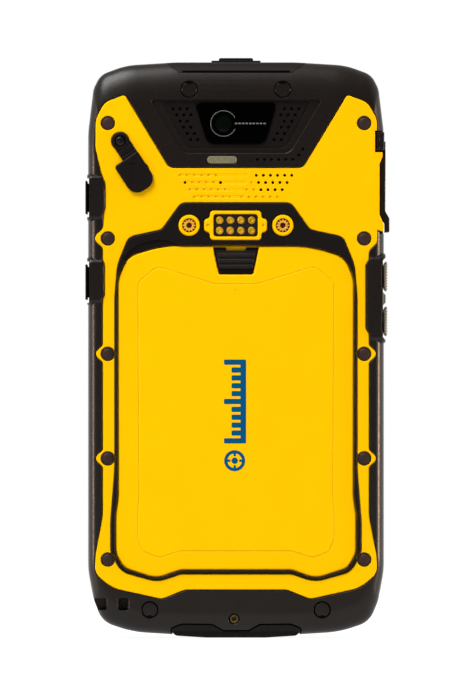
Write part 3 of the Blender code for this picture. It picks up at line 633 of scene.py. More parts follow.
def silhouette_sections(sink=0.0):
    """Sections of the outer body: rounded over towards the screen and the rear face.

    The sink draws the rear face in, for pieces that lie a little under it.
    """
    loop = whole(SILHOUETTE)
    front_start, front_side, front_end = -9.5, 1.1, 1.8
    rear_start, rear_side, rear_foot, rear_head = 7.0, 2.8, 6.0, 12.0
    sections = []
    for rise, inset in reversed(quarter(1.0, 8)):
        outline = scaled_inset(loop, front_side * inset, front_end * inset, front_end * inset)
        sections.append((front_start + (FRONT_RIM - front_start) * rise, outline))
    for rise, inset in quarter(1.0, 12):
        outline = scaled_inset(loop, rear_side * inset, rear_foot * inset, rear_head * inset)
        sections.append((rear_start + (BUMPER_REAR - sink - rear_start) * rise, outline))
    return sections


def side_key_bosses():
    """Raised bosses that the side keys sit in, with a wide root and a narrow face."""
    root, shoulder, face = -7.5, 8.6, 11.9
    left = [
        (rectangle(-39.8, -35.0, 111.0, 124.1, 0.9), rectangle(-39.1, -35.0, 112.5, 122.6, 0.9)),
        (rectangle(-39.8, -35.0, 88.5, 101.9, 0.9), rectangle(-39.1, -35.0, 90.2, 99.9, 0.9)),
    ]
    right = [
        (rectangle(34.7, 40.0, 78.5, 102.8, 0.9), rectangle(34.7, 39.0, 80.3, 100.6, 0.9)),
    ]
    return [cushion(wide, narrow, root, shoulder, face) for wide, narrow in left + right]


def key_notches():
    """Cutters for the notches of the side keys, open to the side and to the rear."""
    tools = []
    for name in SIDE_KEYS:
        key = span(name)
        loop = rectangle(-BEYOND_SIDE, -39.15, key.z0 - 0.1, key.z1 + 0.1, 0.3)
        tools.append(prism(loop, -8.2, BEYOND))
    for name in VOLUME_KEYS:
        key = span(name)
        corners = [
            (BEYOND_SIDE, key.z1 + 0.3), (40.1, key.z1 + 0.3, 0.3), (38.92, key.z1 - 1.0, 0.8),
            (38.92, key.z0 + 1.0, 0.8), (40.1, key.z0 - 0.3, 0.3), (BEYOND_SIDE, key.z0 - 0.3),
        ]
        tools.append(prism(rounded(corners), -8.2, BEYOND))
    return tools


def camera_dots():
    """Places of the blind dimples beside the camera window and under it."""
    pitch = 1.9
    rows = ((141.2, 13.0, 3), (139.6, 12.0, 3), (137.9, 13.0, 2), (136.3, 12.1, 2),
            (134.6, 11.1, 2), (133.0, 10.2, 2))
    beside = [
        (side * (first + pitch * index), z)
        for z, first, count in rows for index in range(count) for side in (-1, 1)
    ]
    under = [(5.7 + pitch * index, 127.7) for index in range(6)] + [(16.8, 128.9), (17.9, 130.5)]
    return beside, under


def make_bumper():
    """Black frame round the body, with the camera cap, the chin and the key bosses."""
    bumper = loft(silhouette_sections())
    join(bumper, *side_key_bosses())
    cavity = whole(CAVITY)
    face = rounded(rear_face_corners())
    cut(bumper, prism(cavity, FRONT_RIM - 1, LIP_INNER))
    cut(bumper, pocket(offset(face, 0.22), FACE_ROOT - GAP, BUMPER_REAR, 0.2))
    cut(bumper, prism(offset(rounded(CHEEK), GAP), REAR_WALL_START - GAP, BEYOND))
    cut(bumper, *key_notches())
    for name in SIDE_KEYS + VOLUME_KEYS:
        key = span(name)
        low, high = sorted(math.copysign(reach, key.u0) for reach in (36.5, BEYOND_SIDE))
        cut(bumper, stem(low, high, 2.6, key.z0 + 0.5, key.z1 - 0.5))

    recess_floor = 10.5
    mouth = whole(RECESS_MOUTH)
    lip = 0.28
    cut(bumper, pocket(offset(mouth, -0.1), recess_floor, BUMPER_REAR, lip))
    cut(bumper, prism(whole(RECESS_FLOOR), recess_floor - 0.4, recess_floor + 0.1))
    cut(bumper, pocket(offset(whole(CAMERA_WINDOW), 0.2), 9.9, recess_floor, 0.1))
    inlay = plate(offset(whole(RECESS_FLOOR), -0.25), recess_floor - 0.41, recess_floor + 0.02, 0.05)
    cut(bumper, pocket(tile(FLASH, 4.2, 1.2, 1.15), 9.6, BUMPER_REAR, 0.12))
    cut(bumper, rod(LENS, 4.3, 9, 10.4))
    cut(inlay, prism(offset(whole(CAMERA_WINDOW), 0.2), 10, BEYOND))
    beside, under = camera_dots()
    dot, depth = 0.47, 0.55
    cut(
        bumper,
        *[rod(place, dot, recess_floor - depth, BEYOND, 16) for place in beside],
        *[rod(place, dot, BUMPER_REAR - depth, BEYOND, 16) for place in under],
    )
    cut(inlay, *[rod(place, dot, 10, BEYOND, 16) for place in beside])
    piece("recess_inlay", inlay, "black_plastic", look="dark_rubber")
    # Near-black discs at the floors of the dimples: painted shade inside them
    shade_top = 0.2
    floors = [rod(place, dot - 0.02, recess_floor - depth, recess_floor - shade_top, 16)
              for place in beside]
    floors += [rod(place, dot - 0.02, BUMPER_REAR - depth, BUMPER_REAR - shade_top, 16)
               for place in under]
    piece("cap_dot_painted_shade", gathered(floors), "black_plastic", look="shadow_plastic")
    cut(bumper, *[rod(middle(name), 2.34, 9.86, BEYOND, 44) for name in PLUGS])
    cut(bumper, pocket(circle(middle("chin_insert"), 1.35), 6.5, 10.6, 0.25))
    strap_low, strap_high = 7.4, 10.6
    cut(
        bumper,
        pocket(rectangle(-31.4, -28.8, strap_low, strap_high, 0.4), 2.0, 11.4, 0.3),
        pocket(rectangle(-45, -34.5, strap_low, strap_high, 0.4), 2.0, 11.2, 0.3),
    )
    cut(bumper, box(-36, -30, 2.1, 9.0, strap_low, strap_high))
    cut(bumper, prism(offset(dock_outline(), 0.38), -9.2, BEYOND))
    cut(bumper, prism(offset(whole(TOP_PLATE), 0.07), -8.1, BEYOND))
    cut(bumper, stem(-1.2, 1.2, 1.2, 148, 152))
    port_door_bay = box(38.2, BEYOND_SIDE, -6.5, BEYOND, 107.9, 130.0)
    cut(bumper, port_door_bay)
    port_opening = box(36.5, BEYOND_SIDE, -4.2, 2.2, 111.5, 127.6)
    port_block_seat = box(36.95, BEYOND_SIDE, -4.3, BEYOND, 129.83, 135.4)
    cut(bumper, port_opening, port_block_seat)
    piece("bumper", bumper, "black_rubber", stands_for="bumper_frame")


def dock_outline():
    """Pad under the chin that the instrument stands on."""
    return whole((
        (3.4, 1.7, 1.5), (6.4, 3.4, 1.5), (14.6, 3.5, 3), (17.7, 2.2, 1.0), (16.2, 0.5, 1.6),
        (8.0, 0.0, 20),
    ))


def make_cap_trim():
    """Plugs, the chin's brass insert, the dock pad, and the plate and key in the top edge."""
    for name in PLUGS:
        plug = span(name)
        u, z = middle(name)
        radius = (plug.u1 - plug.u0) / 2 - 0.08
        disc = turned((u, z), [(radius, plug.y0), (radius, plug.y1 - 0.1), (radius - 0.04, plug.y1),
                               (radius - 0.12, plug.y1 + 0.06), (0.4, plug.y1 + 0.1)])
        side = 1 if z > 50 else -1
        piece(f"{name}_disc", disc, "black_rubber", stands_for=name)
        notch = rounded([(u - 1.3, z + side * 1.85), (u, z + side * 1.35, 1.6),
                         (u + 1.3, z + side * 1.85), (u, z + side * 2.3, 1.6)])
        shade = [rod((u, z), 2.3, 9.87, 10.15), prism(notch, plug.y1, plug.y1 + 0.13)]
        piece(f"{name}_shade", gathered(shade), "black_plastic", look="shadow_plastic")

    # The chin's brass sleeve takes a darker brass: painted shade on the insert
    u, z = middle("chin_insert")
    sleeve = turned((u, z), [(1.2, 6.9), (1.2, 10.6), (1.1, 10.7), (0.75, 10.7), (0.65, 10.6)])
    cut(sleeve, rod((u, z), 0.6, 8, BEYOND))
    piece("chin_insert_sleeve", sleeve, "brass_inserts", stands_for="chin_insert",
          look="dull_brass")

    dock = prism(dock_outline(), 5.0, BEYOND)
    combined(dock, "INTERSECT", [loft(silhouette_sections(DOCK_SINK))])
    join(dock, bar(offset(dock_outline(), -0.02), -9.0, 9.0, 0.3))
    piece("dock_pad", dock, "black_rubber", stands_for="dock_cover", look="dark_rubber")

    top = prism(whole(TOP_PLATE), -8.0, BEYOND)
    combined(top, "INTERSECT", [loft(silhouette_sections(0.1))])
    step = [(-14.4, 150.0), (-14.4, 151.45), (14.4, 151.45), (14.4, 150.0)]
    cut(top, prism(step, 9.0, BEYOND))
    rim = rounded([(-6.9, 154.2, 0.2), (-4.7, 152.2, 0.2), (4.7, 152.2, 0.2), (6.9, 154.2, 0.2)])
    join(top, bar(rim, -6.6, 6.0, 0.15))
    cut(top, prism([(-5.0, 152.1), (5.0, 152.1), (5.0, 156), (-5.0, 156)], -5.6, 2.6))
    cut(top, stem(-1.2, 1.2, 1.2, 149, 153))
    piece("power_plate", top, "black_plastic", stands_for="top_plate", look="dark_rubber")

    power = bar(rectangle(-4.6, 4.6, 153.0, 155.0, 0.5), -5.2, 2.2)
    join(power, stem(-0.8, 0.8, 0.8, 147.4, 153.5))
    piece("power_key_cap", power, "black_plastic", "power_key_body", "power_key",
          look="dark_rubber")


# ---------------------------------------------------------------- camera cap


def make_camera_trim():
    """Glossy window with its ring and lens, and the ribbed flash."""
    window = span("camera_window")
    pane = plate(whole(CAMERA_WINDOW), window.y0, window.y1 + 0.1, 0.15)
    face = window.y1 + 0.1
    cut(pane, rod(LENS, 2.35, face - 0.35, BEYOND))
    piece("camera_pane", pane, "camera_glass", stands_for="camera_window")
    lens = turned(LENS, [(2.3, face - 0.5), (2.3, face - 0.3), (1.7, face - 0.2), (0.9, face - 0.12),
                         (0.2, face - 0.1)])
    piece("camera_lens", lens, "lens_coating")

    outer, inner = 3.5, 3.32
    opening = math.radians(26)
    steps = 56
    angles = [opening + (2 * math.pi - 2 * opening) * i / steps for i in range(steps + 1)]
    ring = [around(LENS, outer, angle) for angle in angles]
    ring += [around(LENS, inner, angle) for angle in reversed(angles)]
    marks = [prism(ring, face - 0.02, face + 0.03)]
    dash_start, pitch, dash, half_height = -0.3, 0.95, 0.66, 0.2
    for index in range(9):
        start = dash_start + pitch * index
        loop = rectangle(start, start + dash, LENS[1] - half_height, LENS[1] + half_height, 0.1)
        marks.append(prism(loop, face - 0.02, face + 0.03))
    piece("lens_marks", gathered(marks), "ink_grey")

    u, z = FLASH
    flash = plate(tile(FLASH, 4.0, 1.0, 0.95), 9.7, BUMPER_REAR, 0.25)
    pitch = 0.55
    cut(flash, *[prism(tile((u + pitch * step, z), 0.11, 0.8, 0.1), BUMPER_REAR - 0.12, BEYOND)
                 for step in range(-6, 7)])
    piece("flash_bar", flash, "flash_diffuser", stands_for="flash_lens")


# ---------------------------------------------------------------- yellow shell


def contact_frame():
    """Outline of the rim round the contact block, with an ear at either end."""
    u, z = CONTACT
    half_width, half_height, ear_reach = 6.85, 3.9, 8.4
    corners = []
    for side in (1, -1):
        corners += [
            (u + side * half_width, z + side * half_height, 1.6),
            (u + side * half_width, z + side * 1.9, 0.9),
            (u + side * ear_reach, z + side * 1.6, 1.2),
            (u + side * ear_reach, z - side * 1.6, 1.2),
            (u + side * half_width, z - side * 1.9, 0.9),
            (u + side * half_width, z - side * half_height, 1.6),
        ]
    return rounded(corners)


def grille():
    """Places of the sound grille: open holes, and the dimples that fill up its rows."""
    pitch, row_pitch, first_u, first_z = 1.9, 1.92, 14.9, 123.45
    per_side = 6
    open_right = (6, 5, 4, 0)
    open_left = ((), (0, 5), (), ())
    holes = []
    dimples = []
    for row in range(4):
        z = first_z - row_pitch * row
        outermost = first_u - 1.28 * row
        for index in range(per_side):
            right = (outermost - pitch * index, z)
            left = (-(outermost - pitch * index), z)
            (holes if index < open_right[row] else dimples).append(right)
            (holes if index in open_left[row] else dimples).append(left)
    return holes, dimples


def make_shell():
    """Yellow rear shell: plate, battery bay, seats for the door and the band, the grille."""
    cavity = whole(CAVITY)
    shell = prism(offset(cavity, -GAP), REAR_WALL_START, PLATE_STEP)
    cut(shell, prism(offset(cavity, -GAP - WALL), REAR_WALL_START - 1, PLATE_INNER))
    join(shell, plate(rounded(rear_face_corners()), FACE_ROOT, PLATE_FACE, 0.28))
    join(shell, plate(offset(rounded(CHEEK), -0.03), REAR_WALL_START, PLATE_FACE - 0.02, 0.2))
    swell_low = rectangle(33.2, 38.3, 109.9, 129.0, 0.8)
    swell_high = rectangle(35.4, 38.1, 112.6, 127.3, 0.6)
    join(shell, loft([(PLATE_FACE - 0.3, swell_low), (PLATE_FACE - 0.01, swell_low),
                      (PLATE_FACE + 0.22, swell_high)]))

    pack = span("battery_pack")
    tub = footprint(pack, 2.0, 0.4)
    bay_floor = pack.y0 - GAP
    join(shell, prism(offset(tub, 1.2), bay_floor - 1.2, PLATE_INNER + 0.5))
    cut(shell, pocket(tub, bay_floor, DOOR_SEAT, 0.3))
    cut(shell, box(-7.5, 7.5, 0, bay_floor + 1, 91.5, 97.5))
    cut(shell, pocket(offset(whole(OVERMOULD), 0.15), BAND_ROOT - GAP, PLATE_FACE, 0.12))
    cut(shell, prism(offset(whole(DOOR), 0.35), DOOR_SEAT, BEYOND))
    groove = prism(offset(tub, 2.0), FACE_ROOT, DOOR_SEAT + 0.2)
    cut(groove, prism(offset(tub, 0.7), 8, 11))
    cut(shell, groove)
    cut(shell, *[box(u - 3.4, u + 3.4, DOOR_SEAT, 10.35, 15.3, 17.5)
                 for u in (-HINGE_TAB_U, HINGE_TAB_U)])

    boss_face = 12.2
    join(shell, *[plate(circle(middle(name), 2.8), 9.8, boss_face, 0.35) for name in INSERTS])
    cut(shell, *[pocket(circle(middle(name), 1.9), 8.4, boss_face, 0.15) for name in INSERTS])
    rim_face = 12.1
    join(shell, plate(contact_frame(), 9.8, rim_face, 0.4))
    u, z = CONTACT
    opening = tile(CONTACT, 5.95, 3.0, 0.8)
    dimple_reach, dimple = 7.4, 0.5
    cut(shell, pocket(opening, 8.3, rim_face, 0.3),
        *[turned((u + side * dimple_reach, z), [(0.3, rim_face - 0.3), (dimple, rim_face + 0.05),
                                                (dimple, BEYOND)], 20) for side in (-1, 1)])

    cut(shell, *[pocket(circle(place, 1.95), 10.0, PLATE_FACE, 0.12) for place in SCREW_PLACES])
    cut(shell, rod(LENS, 4.0, 7, BEYOND), rod(JACK, 2.6, 7, BEYOND),
        rod(ANCHOR, 2.5, 10.1, BEYOND))
    cut(shell, rod(ANCHOR, 0.9, 8.3, BEYOND, 16))

    holes, dimples = grille()
    cut(shell, *[pocket(circle(place, 0.4, 16), 7, PLATE_FACE, 0.1) for place in holes])
    groove_depth, dimple_depth, groove_half = 0.07, 0.3, 0.42
    grooves = []
    levels = sorted({place[1] for place in dimples})
    for z in levels:
        reach = max(abs(place[0]) for place in dimples + holes if place[1] == z) + 0.4
        grooves.append(pocket(rectangle(-reach, 0.2 * reach, z - groove_half, z + groove_half, 0.4),
                              PLATE_FACE - groove_depth, PLATE_FACE, 0.06))
    cut(shell, *grooves)
    cut(shell, *[turned(place, [(0.22, PLATE_FACE - dimple_depth), (0.33, PLATE_FACE - 0.2),
                                (0.36, PLATE_FACE + 0.02), (0.36, BEYOND)], 16)
                 for place in dimples])
    piece("rear_shell", shell, "yellow_plastic", stands_for="rear_housing")


def make_band():
    """Black rubber band round the door, with the scoop for a fingernail."""
    band = plate(whole(OVERMOULD), BAND_ROOT, BAND_FACE, 0.4)
    cut(band, pocket(offset(whole(DOOR), 0.35), 10, BAND_FACE, 0.25))
    scoop = rounded(SCOOP)
    cut(band, loft([(10.75, offset(scoop, -0.5)), (11.1, scoop), (BEYOND, offset(scoop, 0.6))]))
    openings = [circle(middle(name), 3.0) for name in INSERTS]
    openings.append(offset(contact_frame(), 0.2))
    cut(band, *[pocket(loop, 10, BAND_FACE, 0.2) for loop in openings])
    cut(band, *[pocket(circle(place, 2.1), 10, BAND_FACE, 0.2) for place in SCREW_PLACES])
    piece("door_band", band, "black_rubber", stands_for="rear_overmould", look="dark_rubber")


# ---------------------------------------------------------------- rear fittings


def make_fasteners():
    """Domed covers of the ten screws, and the two knurled inserts."""
    for name, place in zip(SCREWS, SCREW_PLACES):
        screw = span(name)
        radius = (screw.u1 - screw.u0) / 2
        face = screw.y1
        head = turned(place, [
            (radius, 10.3), (radius, face - 0.3), (radius - 0.1, face - 0.16),
            (radius - 0.22, face - 0.14), (radius - 0.32, face - 0.2), (radius - 0.4, face - 0.12),
            (1.1, face), (0.6, face + 0.05), (0.15, face + 0.06),
        ])
        join(head, rod(place, 0.8, -4.0, 10.5, 16))
        piece(f"{name}_head", head, "screw_brown", stands_for=name)

    teeth, root, crest = 12, 1.2, 1.85
    for name in INSERTS:
        insert = span(name)
        u, z = middle(name)
        star = []
        for index in range(teeth * 4):
            angle = 2 * math.pi * index / (teeth * 4)
            radius = root + (crest - root) * (0.5 + 0.5 * math.cos(teeth * angle))
            star.append(around((u, z), radius, angle))
        nut = plate(star, insert.y0, insert.y1 - 0.1, 0.08)
        bore = [(0.75, insert.y0 + 0.8), (0.75, insert.y1 - 0.25), (0.9, insert.y1), (0.9, BEYOND)]
        cut(nut, turned((u, z), bore))
        piece(f"{name}_nut", nut, "brass_inserts", stands_for=name, sharp=60)
        # Dark red-brown disc under the nut: painted shade between its teeth and down its bore
        bore_shade = rod((u, z), 1.86, 8.45, insert.y1 - 0.35)
        cut(bore_shade, rod((u, z), 1.0, 8, 9.0))
        piece(f"{name}_seat", bore_shade, "brass_inserts", look="bore_shadow")


def make_contact_block():
    """Eight domed contacts in their black carrier."""
    u, z = CONTACT
    carrier_box = span("contact_insert")
    carrier = plate(footprint(carrier_box, 0.6, 0.2), carrier_box.y0, carrier_box.y1, 0.15)
    places = [
        (u + (column - 1.5) * 2.85, z + row * 1.38) for column in range(4) for row in (-1, 1)
    ]
    cut(carrier, *[pocket(circle(place, 1.08), 9, carrier_box.y1, 0.1) for place in places])
    piece("contact_carrier", carrier, "black_plastic", stands_for="contact_insert")
    face = span("contact_pads").y1
    pads = [
        turned(place, [(1.0, 8.9), (1.0, face - 0.15), (0.93, face - 0.05), (0.8, face),
                       (0.45, face), (0.35, face - 0.06), (0.1, face - 0.08)])
        for place in places
    ]
    contacts = box(u - 5.2, u + 5.2, 8.7, 9.0, z - 2.4, z + 2.4)
    for pad in pads:
        join(contacts, pad)
    piece("contact_faces", contacts, "gold_contacts", stands_for="contact_pads")


def along_flap(reach, across=0.0):
    """Point at a distance from the anchor's centre along the antenna flap."""
    du, dz = math.cos(JACK_ANGLE), math.sin(JACK_ANGLE)
    return ANCHOR[0] + du * reach - dz * across, ANCHOR[1] + dz * reach + du * across


def flap_outline(corners):
    """Outline given along and across the antenna flap."""
    return rounded([(*along_flap(a, b), *radius) for a, b, *radius in corners])


def make_antenna_cover():
    """Rubber cover of the antenna socket: anchor, grooved strap and flap in one moulding."""
    flap_face = span("antenna_flap").y1
    strap_base, strap_half = 11.7, 2.3
    cover = plate(circle(ANCHOR, strap_half, 64), BAND_ROOT, STRAP_FACE, 0.3)
    strap = flap_outline([(0, strap_half), (5.6, strap_half), (5.6, -strap_half), (0, -strap_half)])
    join(cover, plate(strap, strap_base, STRAP_FACE - 0.01, 0.2))
    corners = [(4.7, 2.4, 0.5), (14.5, 2.4, 3.0), (14.5, -5.1, 3.0), (4.9, -5.1, 0.8)]
    join(cover, plate(flap_outline(corners), strap_base + 0.01, flap_face, 0.4))
    for reach, width in ((2.1, 0.3), (3.75, 0.34)):
        loop = flap_outline([(reach - width / 2, -3), (reach + width / 2, -3),
                             (reach + width / 2, 3), (reach - width / 2, 3)])
        mouth = offset(loop, 0.12)
        cut(cover, loft([(STRAP_FACE - 0.22, offset(loop, -0.04)), (STRAP_FACE + 0.1, mouth),
                         (BEYOND, mouth)]))
    stem_u, arm_top, arm_foot, stem_low = -27.5, 126.8, 125.5, 121.6
    sunk = flap_face - 0.2
    cut(cover, prism(rounded([(stem_u - 1.45, arm_top, 0.1), (stem_u + 1.45, arm_top, 0.1),
                              (stem_u, arm_foot, 0.1)]), sunk, BEYOND))
    cut(cover, prism(rectangle(stem_u - 0.2, stem_u + 0.2, stem_low, arm_top - 0.1, 0.1),
                     sunk + 0.01, BEYOND))
    cut(cover, pocket(circle(ANCHOR, 1.55), 11.2, STRAP_FACE, 0.12))
    cut(cover, rod(ANCHOR, 0.9, 10, BEYOND, 16))
    plug_end = span("antenna_flap").y0
    join(cover, turned(JACK, [(1.7, plug_end), (2.0, plug_end + 0.25), (2.0, strap_base + 0.1)]))
    direction = (-math.cos(JACK_ANGLE), 0.0, math.sin(JACK_ANGLE))
    origin = (-ANCHOR[0], 0.0, ANCHOR[1])
    first, last = 2.35, 4.6
    sliced(cover, origin, direction, [first + 0.15 * step for step in range(16)])
    piece("antenna_cover", cover, "black_rubber", body=None, look="dark_rubber",
          stands_for=("antenna_flap_anchor", "antenna_flap"))
    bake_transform(cover)

    face = span("antenna_flap_screw").y1
    screw = turned(ANCHOR, [(1.3, 11.25), (1.3, face - 0.25), (1.05, face - 0.05), (0.5, face + 0.02),
                            (0.15, face + 0.03)])
    long, short = 0.75, 0.13
    cut(screw, prism(tile(ANCHOR, long, short, 0.1), face - 0.25, BEYOND))
    cut(screw, prism(tile(ANCHOR, short, long, 0.1), face - 0.26, BEYOND))
    join(screw, rod(ANCHOR, 0.6, 8.6, 11.5, 16))
    piece("antenna_screw", screw, "steel", stands_for="antenna_flap_screw", look="dark_steel")


def make_port_cover():
    """Rubber cover of the side ports: its fixed block, the strap and the door."""
    door = bar(rounded(PORT_DOOR), -6.2, 8.2, 0.25)
    cut(door, box(39.0, 41, -7, -3.0, 128.3, 131), box(39.0, 41, 5.0, 9, 128.3, 131))
    usb, audio = (-2.6, 116.6), (-1.1, 124.0)
    usb_plug = tile(usb, 0.75, 3.1, 0.6)
    audio_plug = circle(audio, 1.25, 24)
    for loop in (usb_plug, audio_plug):
        join(door, solid([[(-u * MM, y * MM, z * MM) for y, z in loop] for u in (37.9, 39.0)]))
    block = bar(rectangle(37.5, 39.6, 130.2, 135.1, 0.35), -4.0, 10.9, 0.3)
    cut(block, box(38.25, 38.45, 10.6, BEYOND, 130.0, 136.0))
    strap = bar(rectangle(39.35, 40.0, 128.9, 132.6, 0.2), -2.8, 4.8, 0.15)
    join(door, strap)
    join(door, block)
    first, last = 131.1, 128.9
    sliced(door, (0, 0, 0), (0.0, 0.0, 1.0), [last + 0.15 * step for step in range(16)])
    piece("port_cover", door, "black_rubber", body=None,
          stands_for=("port_door_anchor", "port_door"))
    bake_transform(door)


# ---------------------------------------------------------------- battery side


def make_door():
    """Yellow battery door with its sunken pocket, and the blue scale printed on it."""
    loop = whole(DOOR)
    inner = span("battery_door").y0
    plateau = whole(PLATEAU)
    edge = 0.45
    fall = 0.16
    sections = [(inner, loop)]
    for rise, inset in quarter(edge, 5):
        sections.append((DOOR_FACE - fall - edge + rise, offset(loop, -inset)))
    sections += [
        (DOOR_FACE - 0.05, plateau), (DOOR_FACE - 0.2, offset(plateau, -0.14)),
        (DOOR_FACE, offset(plateau, -0.4)),
    ]
    door = loft(sections)
    hinge_z = span("battery_door").z0
    join(door, *[box(u - 3.0, u + 3.0, inner + 0.01, 10.05, hinge_z, 18.0)
                 for u in (-HINGE_TAB_U, HINGE_TAB_U)])
    wall = whole(LATCH_POCKET)
    cut(door, loft([(10.2, offset(wall, -0.35)), (DOOR_FACE - 0.3, offset(wall, -0.12)),
                    (DOOR_FACE + 0.02, offset(wall, 0.2)), (BEYOND, offset(wall, 0.2))]))
    mark_z = 92.6
    cut(door, prism(rounded([(-0.55, mark_z + 0.45, 0.1), (0.55, mark_z + 0.45, 0.1),
                             (0.0, mark_z - 0.45, 0.1)]), DOOR_FACE - 0.08, BEYOND))
    piece("door_panel", door, "yellow_plastic", "door", "battery_door")
    make_door_scale()


def make_door_scale():
    """Generic graduated scale with a level mark under it, printed on the door."""
    back, front = DOOR_FACE - 0.02, DOOR_FACE + 0.03
    right, low, high = 2.7, 51.9, 74.3
    spine = 1.5
    scale = prism(rectangle(right - spine, right, low, high, 0.3), back, front)
    marks = []
    stroke = 1.4
    count = 11
    for index in range(count):
        z = low + stroke / 2 + (high - low - stroke) * index / (count - 1)
        length = 5.9 if index % 5 == 0 else 3.9
        loop = rectangle(right - length, right - spine / 2, z - stroke / 2, z + stroke / 2, 0.3)
        marks.append(prism(loop, back + 0.001, front))
    join(scale, *marks)
    piece("door_scale", scale, "ink_blue", "door")

    centre = (-0.35, 47.3)
    ring = rod(centre, 2.8, back, front, 64)
    cut(ring, rod(centre, 1.95, back - 1, front + 1, 64))
    ticks = []
    for turn in range(4):
        du, dz = round(math.cos(turn * math.pi / 2)), round(math.sin(turn * math.pi / 2))
        ends = sorted((centre[0] + du * 1.2, centre[0] + du * 2.5))
        heights = sorted((centre[1] + dz * 1.2, centre[1] + dz * 2.5))
        half = 0.32
        ticks.append(prism(
            rectangle(ends[0] - abs(dz) * half, ends[1] + abs(dz) * half,
                      heights[0] - abs(du) * half, heights[1] + abs(du) * half),
            back + 0.001, front + 0.001,
        ))
    join(ring, *ticks)
    dot = rod(centre, 0.85, back, front)
    piece("door_level_mark", gathered([ring, dot]), "ink_blue", "door")


def make_latch():
    """Sliding latch with three ribs for the thumb, on the black bed that it slides on."""
    latch_box = span("door_latch")
    base = latch_box.y0
    bed = prism(rounded([(-6.1, 104.2), (-4.68, 96.82, 0.75), (4.68, 96.82, 0.75), (6.1, 104.2),
                         (2.7, 104.2), (2.4, 103.2), (-2.4, 103.2), (-2.7, 104.2)]),
                base - 0.29, base - 0.03)
    piece("latch_bed", bed, "black_plastic", "door", look="dark_rubber")
    latch = plate(whole(LATCH), base, base + 0.4, 0.1)
    ribs, pitch, top, rib_half = 3, 1.53, 102.2, 0.5
    for level in range(ribs):
        z = top - pitch * level
        half = 4.95 - 0.2 * level
        join(latch, plate(rectangle(-half, half, z - rib_half, z + rib_half, 0.25), base + 0.3,
                          latch_box.y1 + 0.1, 0.32))
    piece("latch_slider", latch, "black_plastic", "latch", "door_latch")


def make_battery():
    """Battery pack with its label and its contact strip."""
    pack = span("battery_pack")
    wrap = bar(footprint(pack, 1.8), pack.y0, pack.y1 - 0.1, 0.8)
    grip = rectangle(-8, 8, pack.z0 + 2.0, pack.z0 + 5.0, 1.4)
    cut(wrap, pocket(grip, pack.y1 - 1.0, pack.y1 - 0.1, 0.3))
    strip = rectangle(-6.0, 6.0, pack.z1 - 1.2, pack.z1 + 1.0, 0.2)
    cut(wrap, prism(strip, 4.0, 7.2))
    piece("battery_case", wrap, "battery_wrap", stands_for="battery_pack")
    face = pack.y1 - 0.1
    label = prism(rectangle(-24, 24, 34, 84, 1.0), face - 0.02, face + 0.04)
    piece("battery_label", label, "ink_grey")
    print_back, print_front = face + 0.03, face + 0.07
    lines = []
    for index, length in enumerate((38, 30, 34, 22, 36, 28)):
        z = 78 - 3.4 * index
        loop = rectangle(-20, -20 + length, z - 0.5, z + 0.5, 0.3)
        lines.append(prism(loop, print_back, print_front))
    for index in range(12):
        u = -19 + 3.2 * index
        width = 0.8 + 0.5 * (index * 7 % 3)
        lines.append(prism(rectangle(u, u + width, 40, 50), print_back, print_front))
    piece("battery_label_print", gathered(lines), "ink_screen")
    pads = [prism(rectangle(u - 0.9, u + 0.9, pack.z1 - 1.0, pack.z1 - 0.4, 0.1), 4.4, 6.8)
            for u in (-4.2, -1.4, 1.4, 4.2)]
    piece("battery_pads", gathered(pads), "gold_contacts")


# ---------------------------------------------------------------- keys and screen side


def make_side_keys():
    """Side keys as wide caps on their stems; the volume keys are ribbed."""
    for name in SIDE_KEYS:
        key = span(name)
        core = stem(-39.8, -37.9, 2.2, key.z0 + 1.4, key.z1 - 1.4)
        loop = rectangle(key.u0 + 0.05, -39.75, key.z0 + 0.75, key.z1 - 0.75, 0.24)
        join(core, bar(loop, -7.2, 9.4, 0.2))
        join(core, stem(-38.2, -33.0, 0.8, key.z0 + 4.4, key.z0 + 6.0))
        piece(f"{name}_cap", core, "black_rubber", f"{name}_body", name)
    for name in VOLUME_KEYS:
        key = span(name)
        tip = key.u1
        low, high = key.z0 + 0.75, key.z1 - 0.75
        corners = [(39.5, low + 1.0, 0.3), (40.15, low - 0.1, 0.3), (tip, low + 0.9, 0.4),
                   (tip, high - 0.9, 0.4), (40.15, high + 0.1, 0.3), (39.5, high - 1.0, 0.3)]
        cap = bar(rounded(corners), -7.2, 9.0, 0.3)
        pitch = 0.76
        count = 9
        start = (low + high) / 2 - pitch * (count - 1) / 2
        grooves = []
        for index in range(count):
            z = start + pitch * index
            grooves.append(box(tip - 0.28, tip + 1, -8, 11, z - 0.16, z + 0.16))
        cut(cap, *grooves)
        join(cap, stem(37.9, 39.7, 2.2, low + 1.4, high - 1.4))
        join(cap, stem(33.0, 38.2, 0.8, low + 3.4, low + 5.0))
        piece(f"{name}_cap", cap, "ribbed_grey", f"{name}_body", name)


def symbol(name, u, z):
    """Simple generic symbols for the front keys, as outlines."""
    if name == "home_key":
        return [[(u - 1.3, z - 1.1), (u + 1.3, z - 1.1), (u + 1.3, z + 0.2), (u, z + 1.3),
                 (u - 1.3, z + 0.2)]]
    if name == "back_key":
        return [[(u - 1.2, z - 1.2), (u + 1.2, z), (u - 1.2, z + 1.2)]]
    if name == "menu_key":
        return [tile((u, z + rise), 1.4, 0.2) for rise in (-0.9, 0, 0.9)]
    return [circle((u, z), 1.2)]


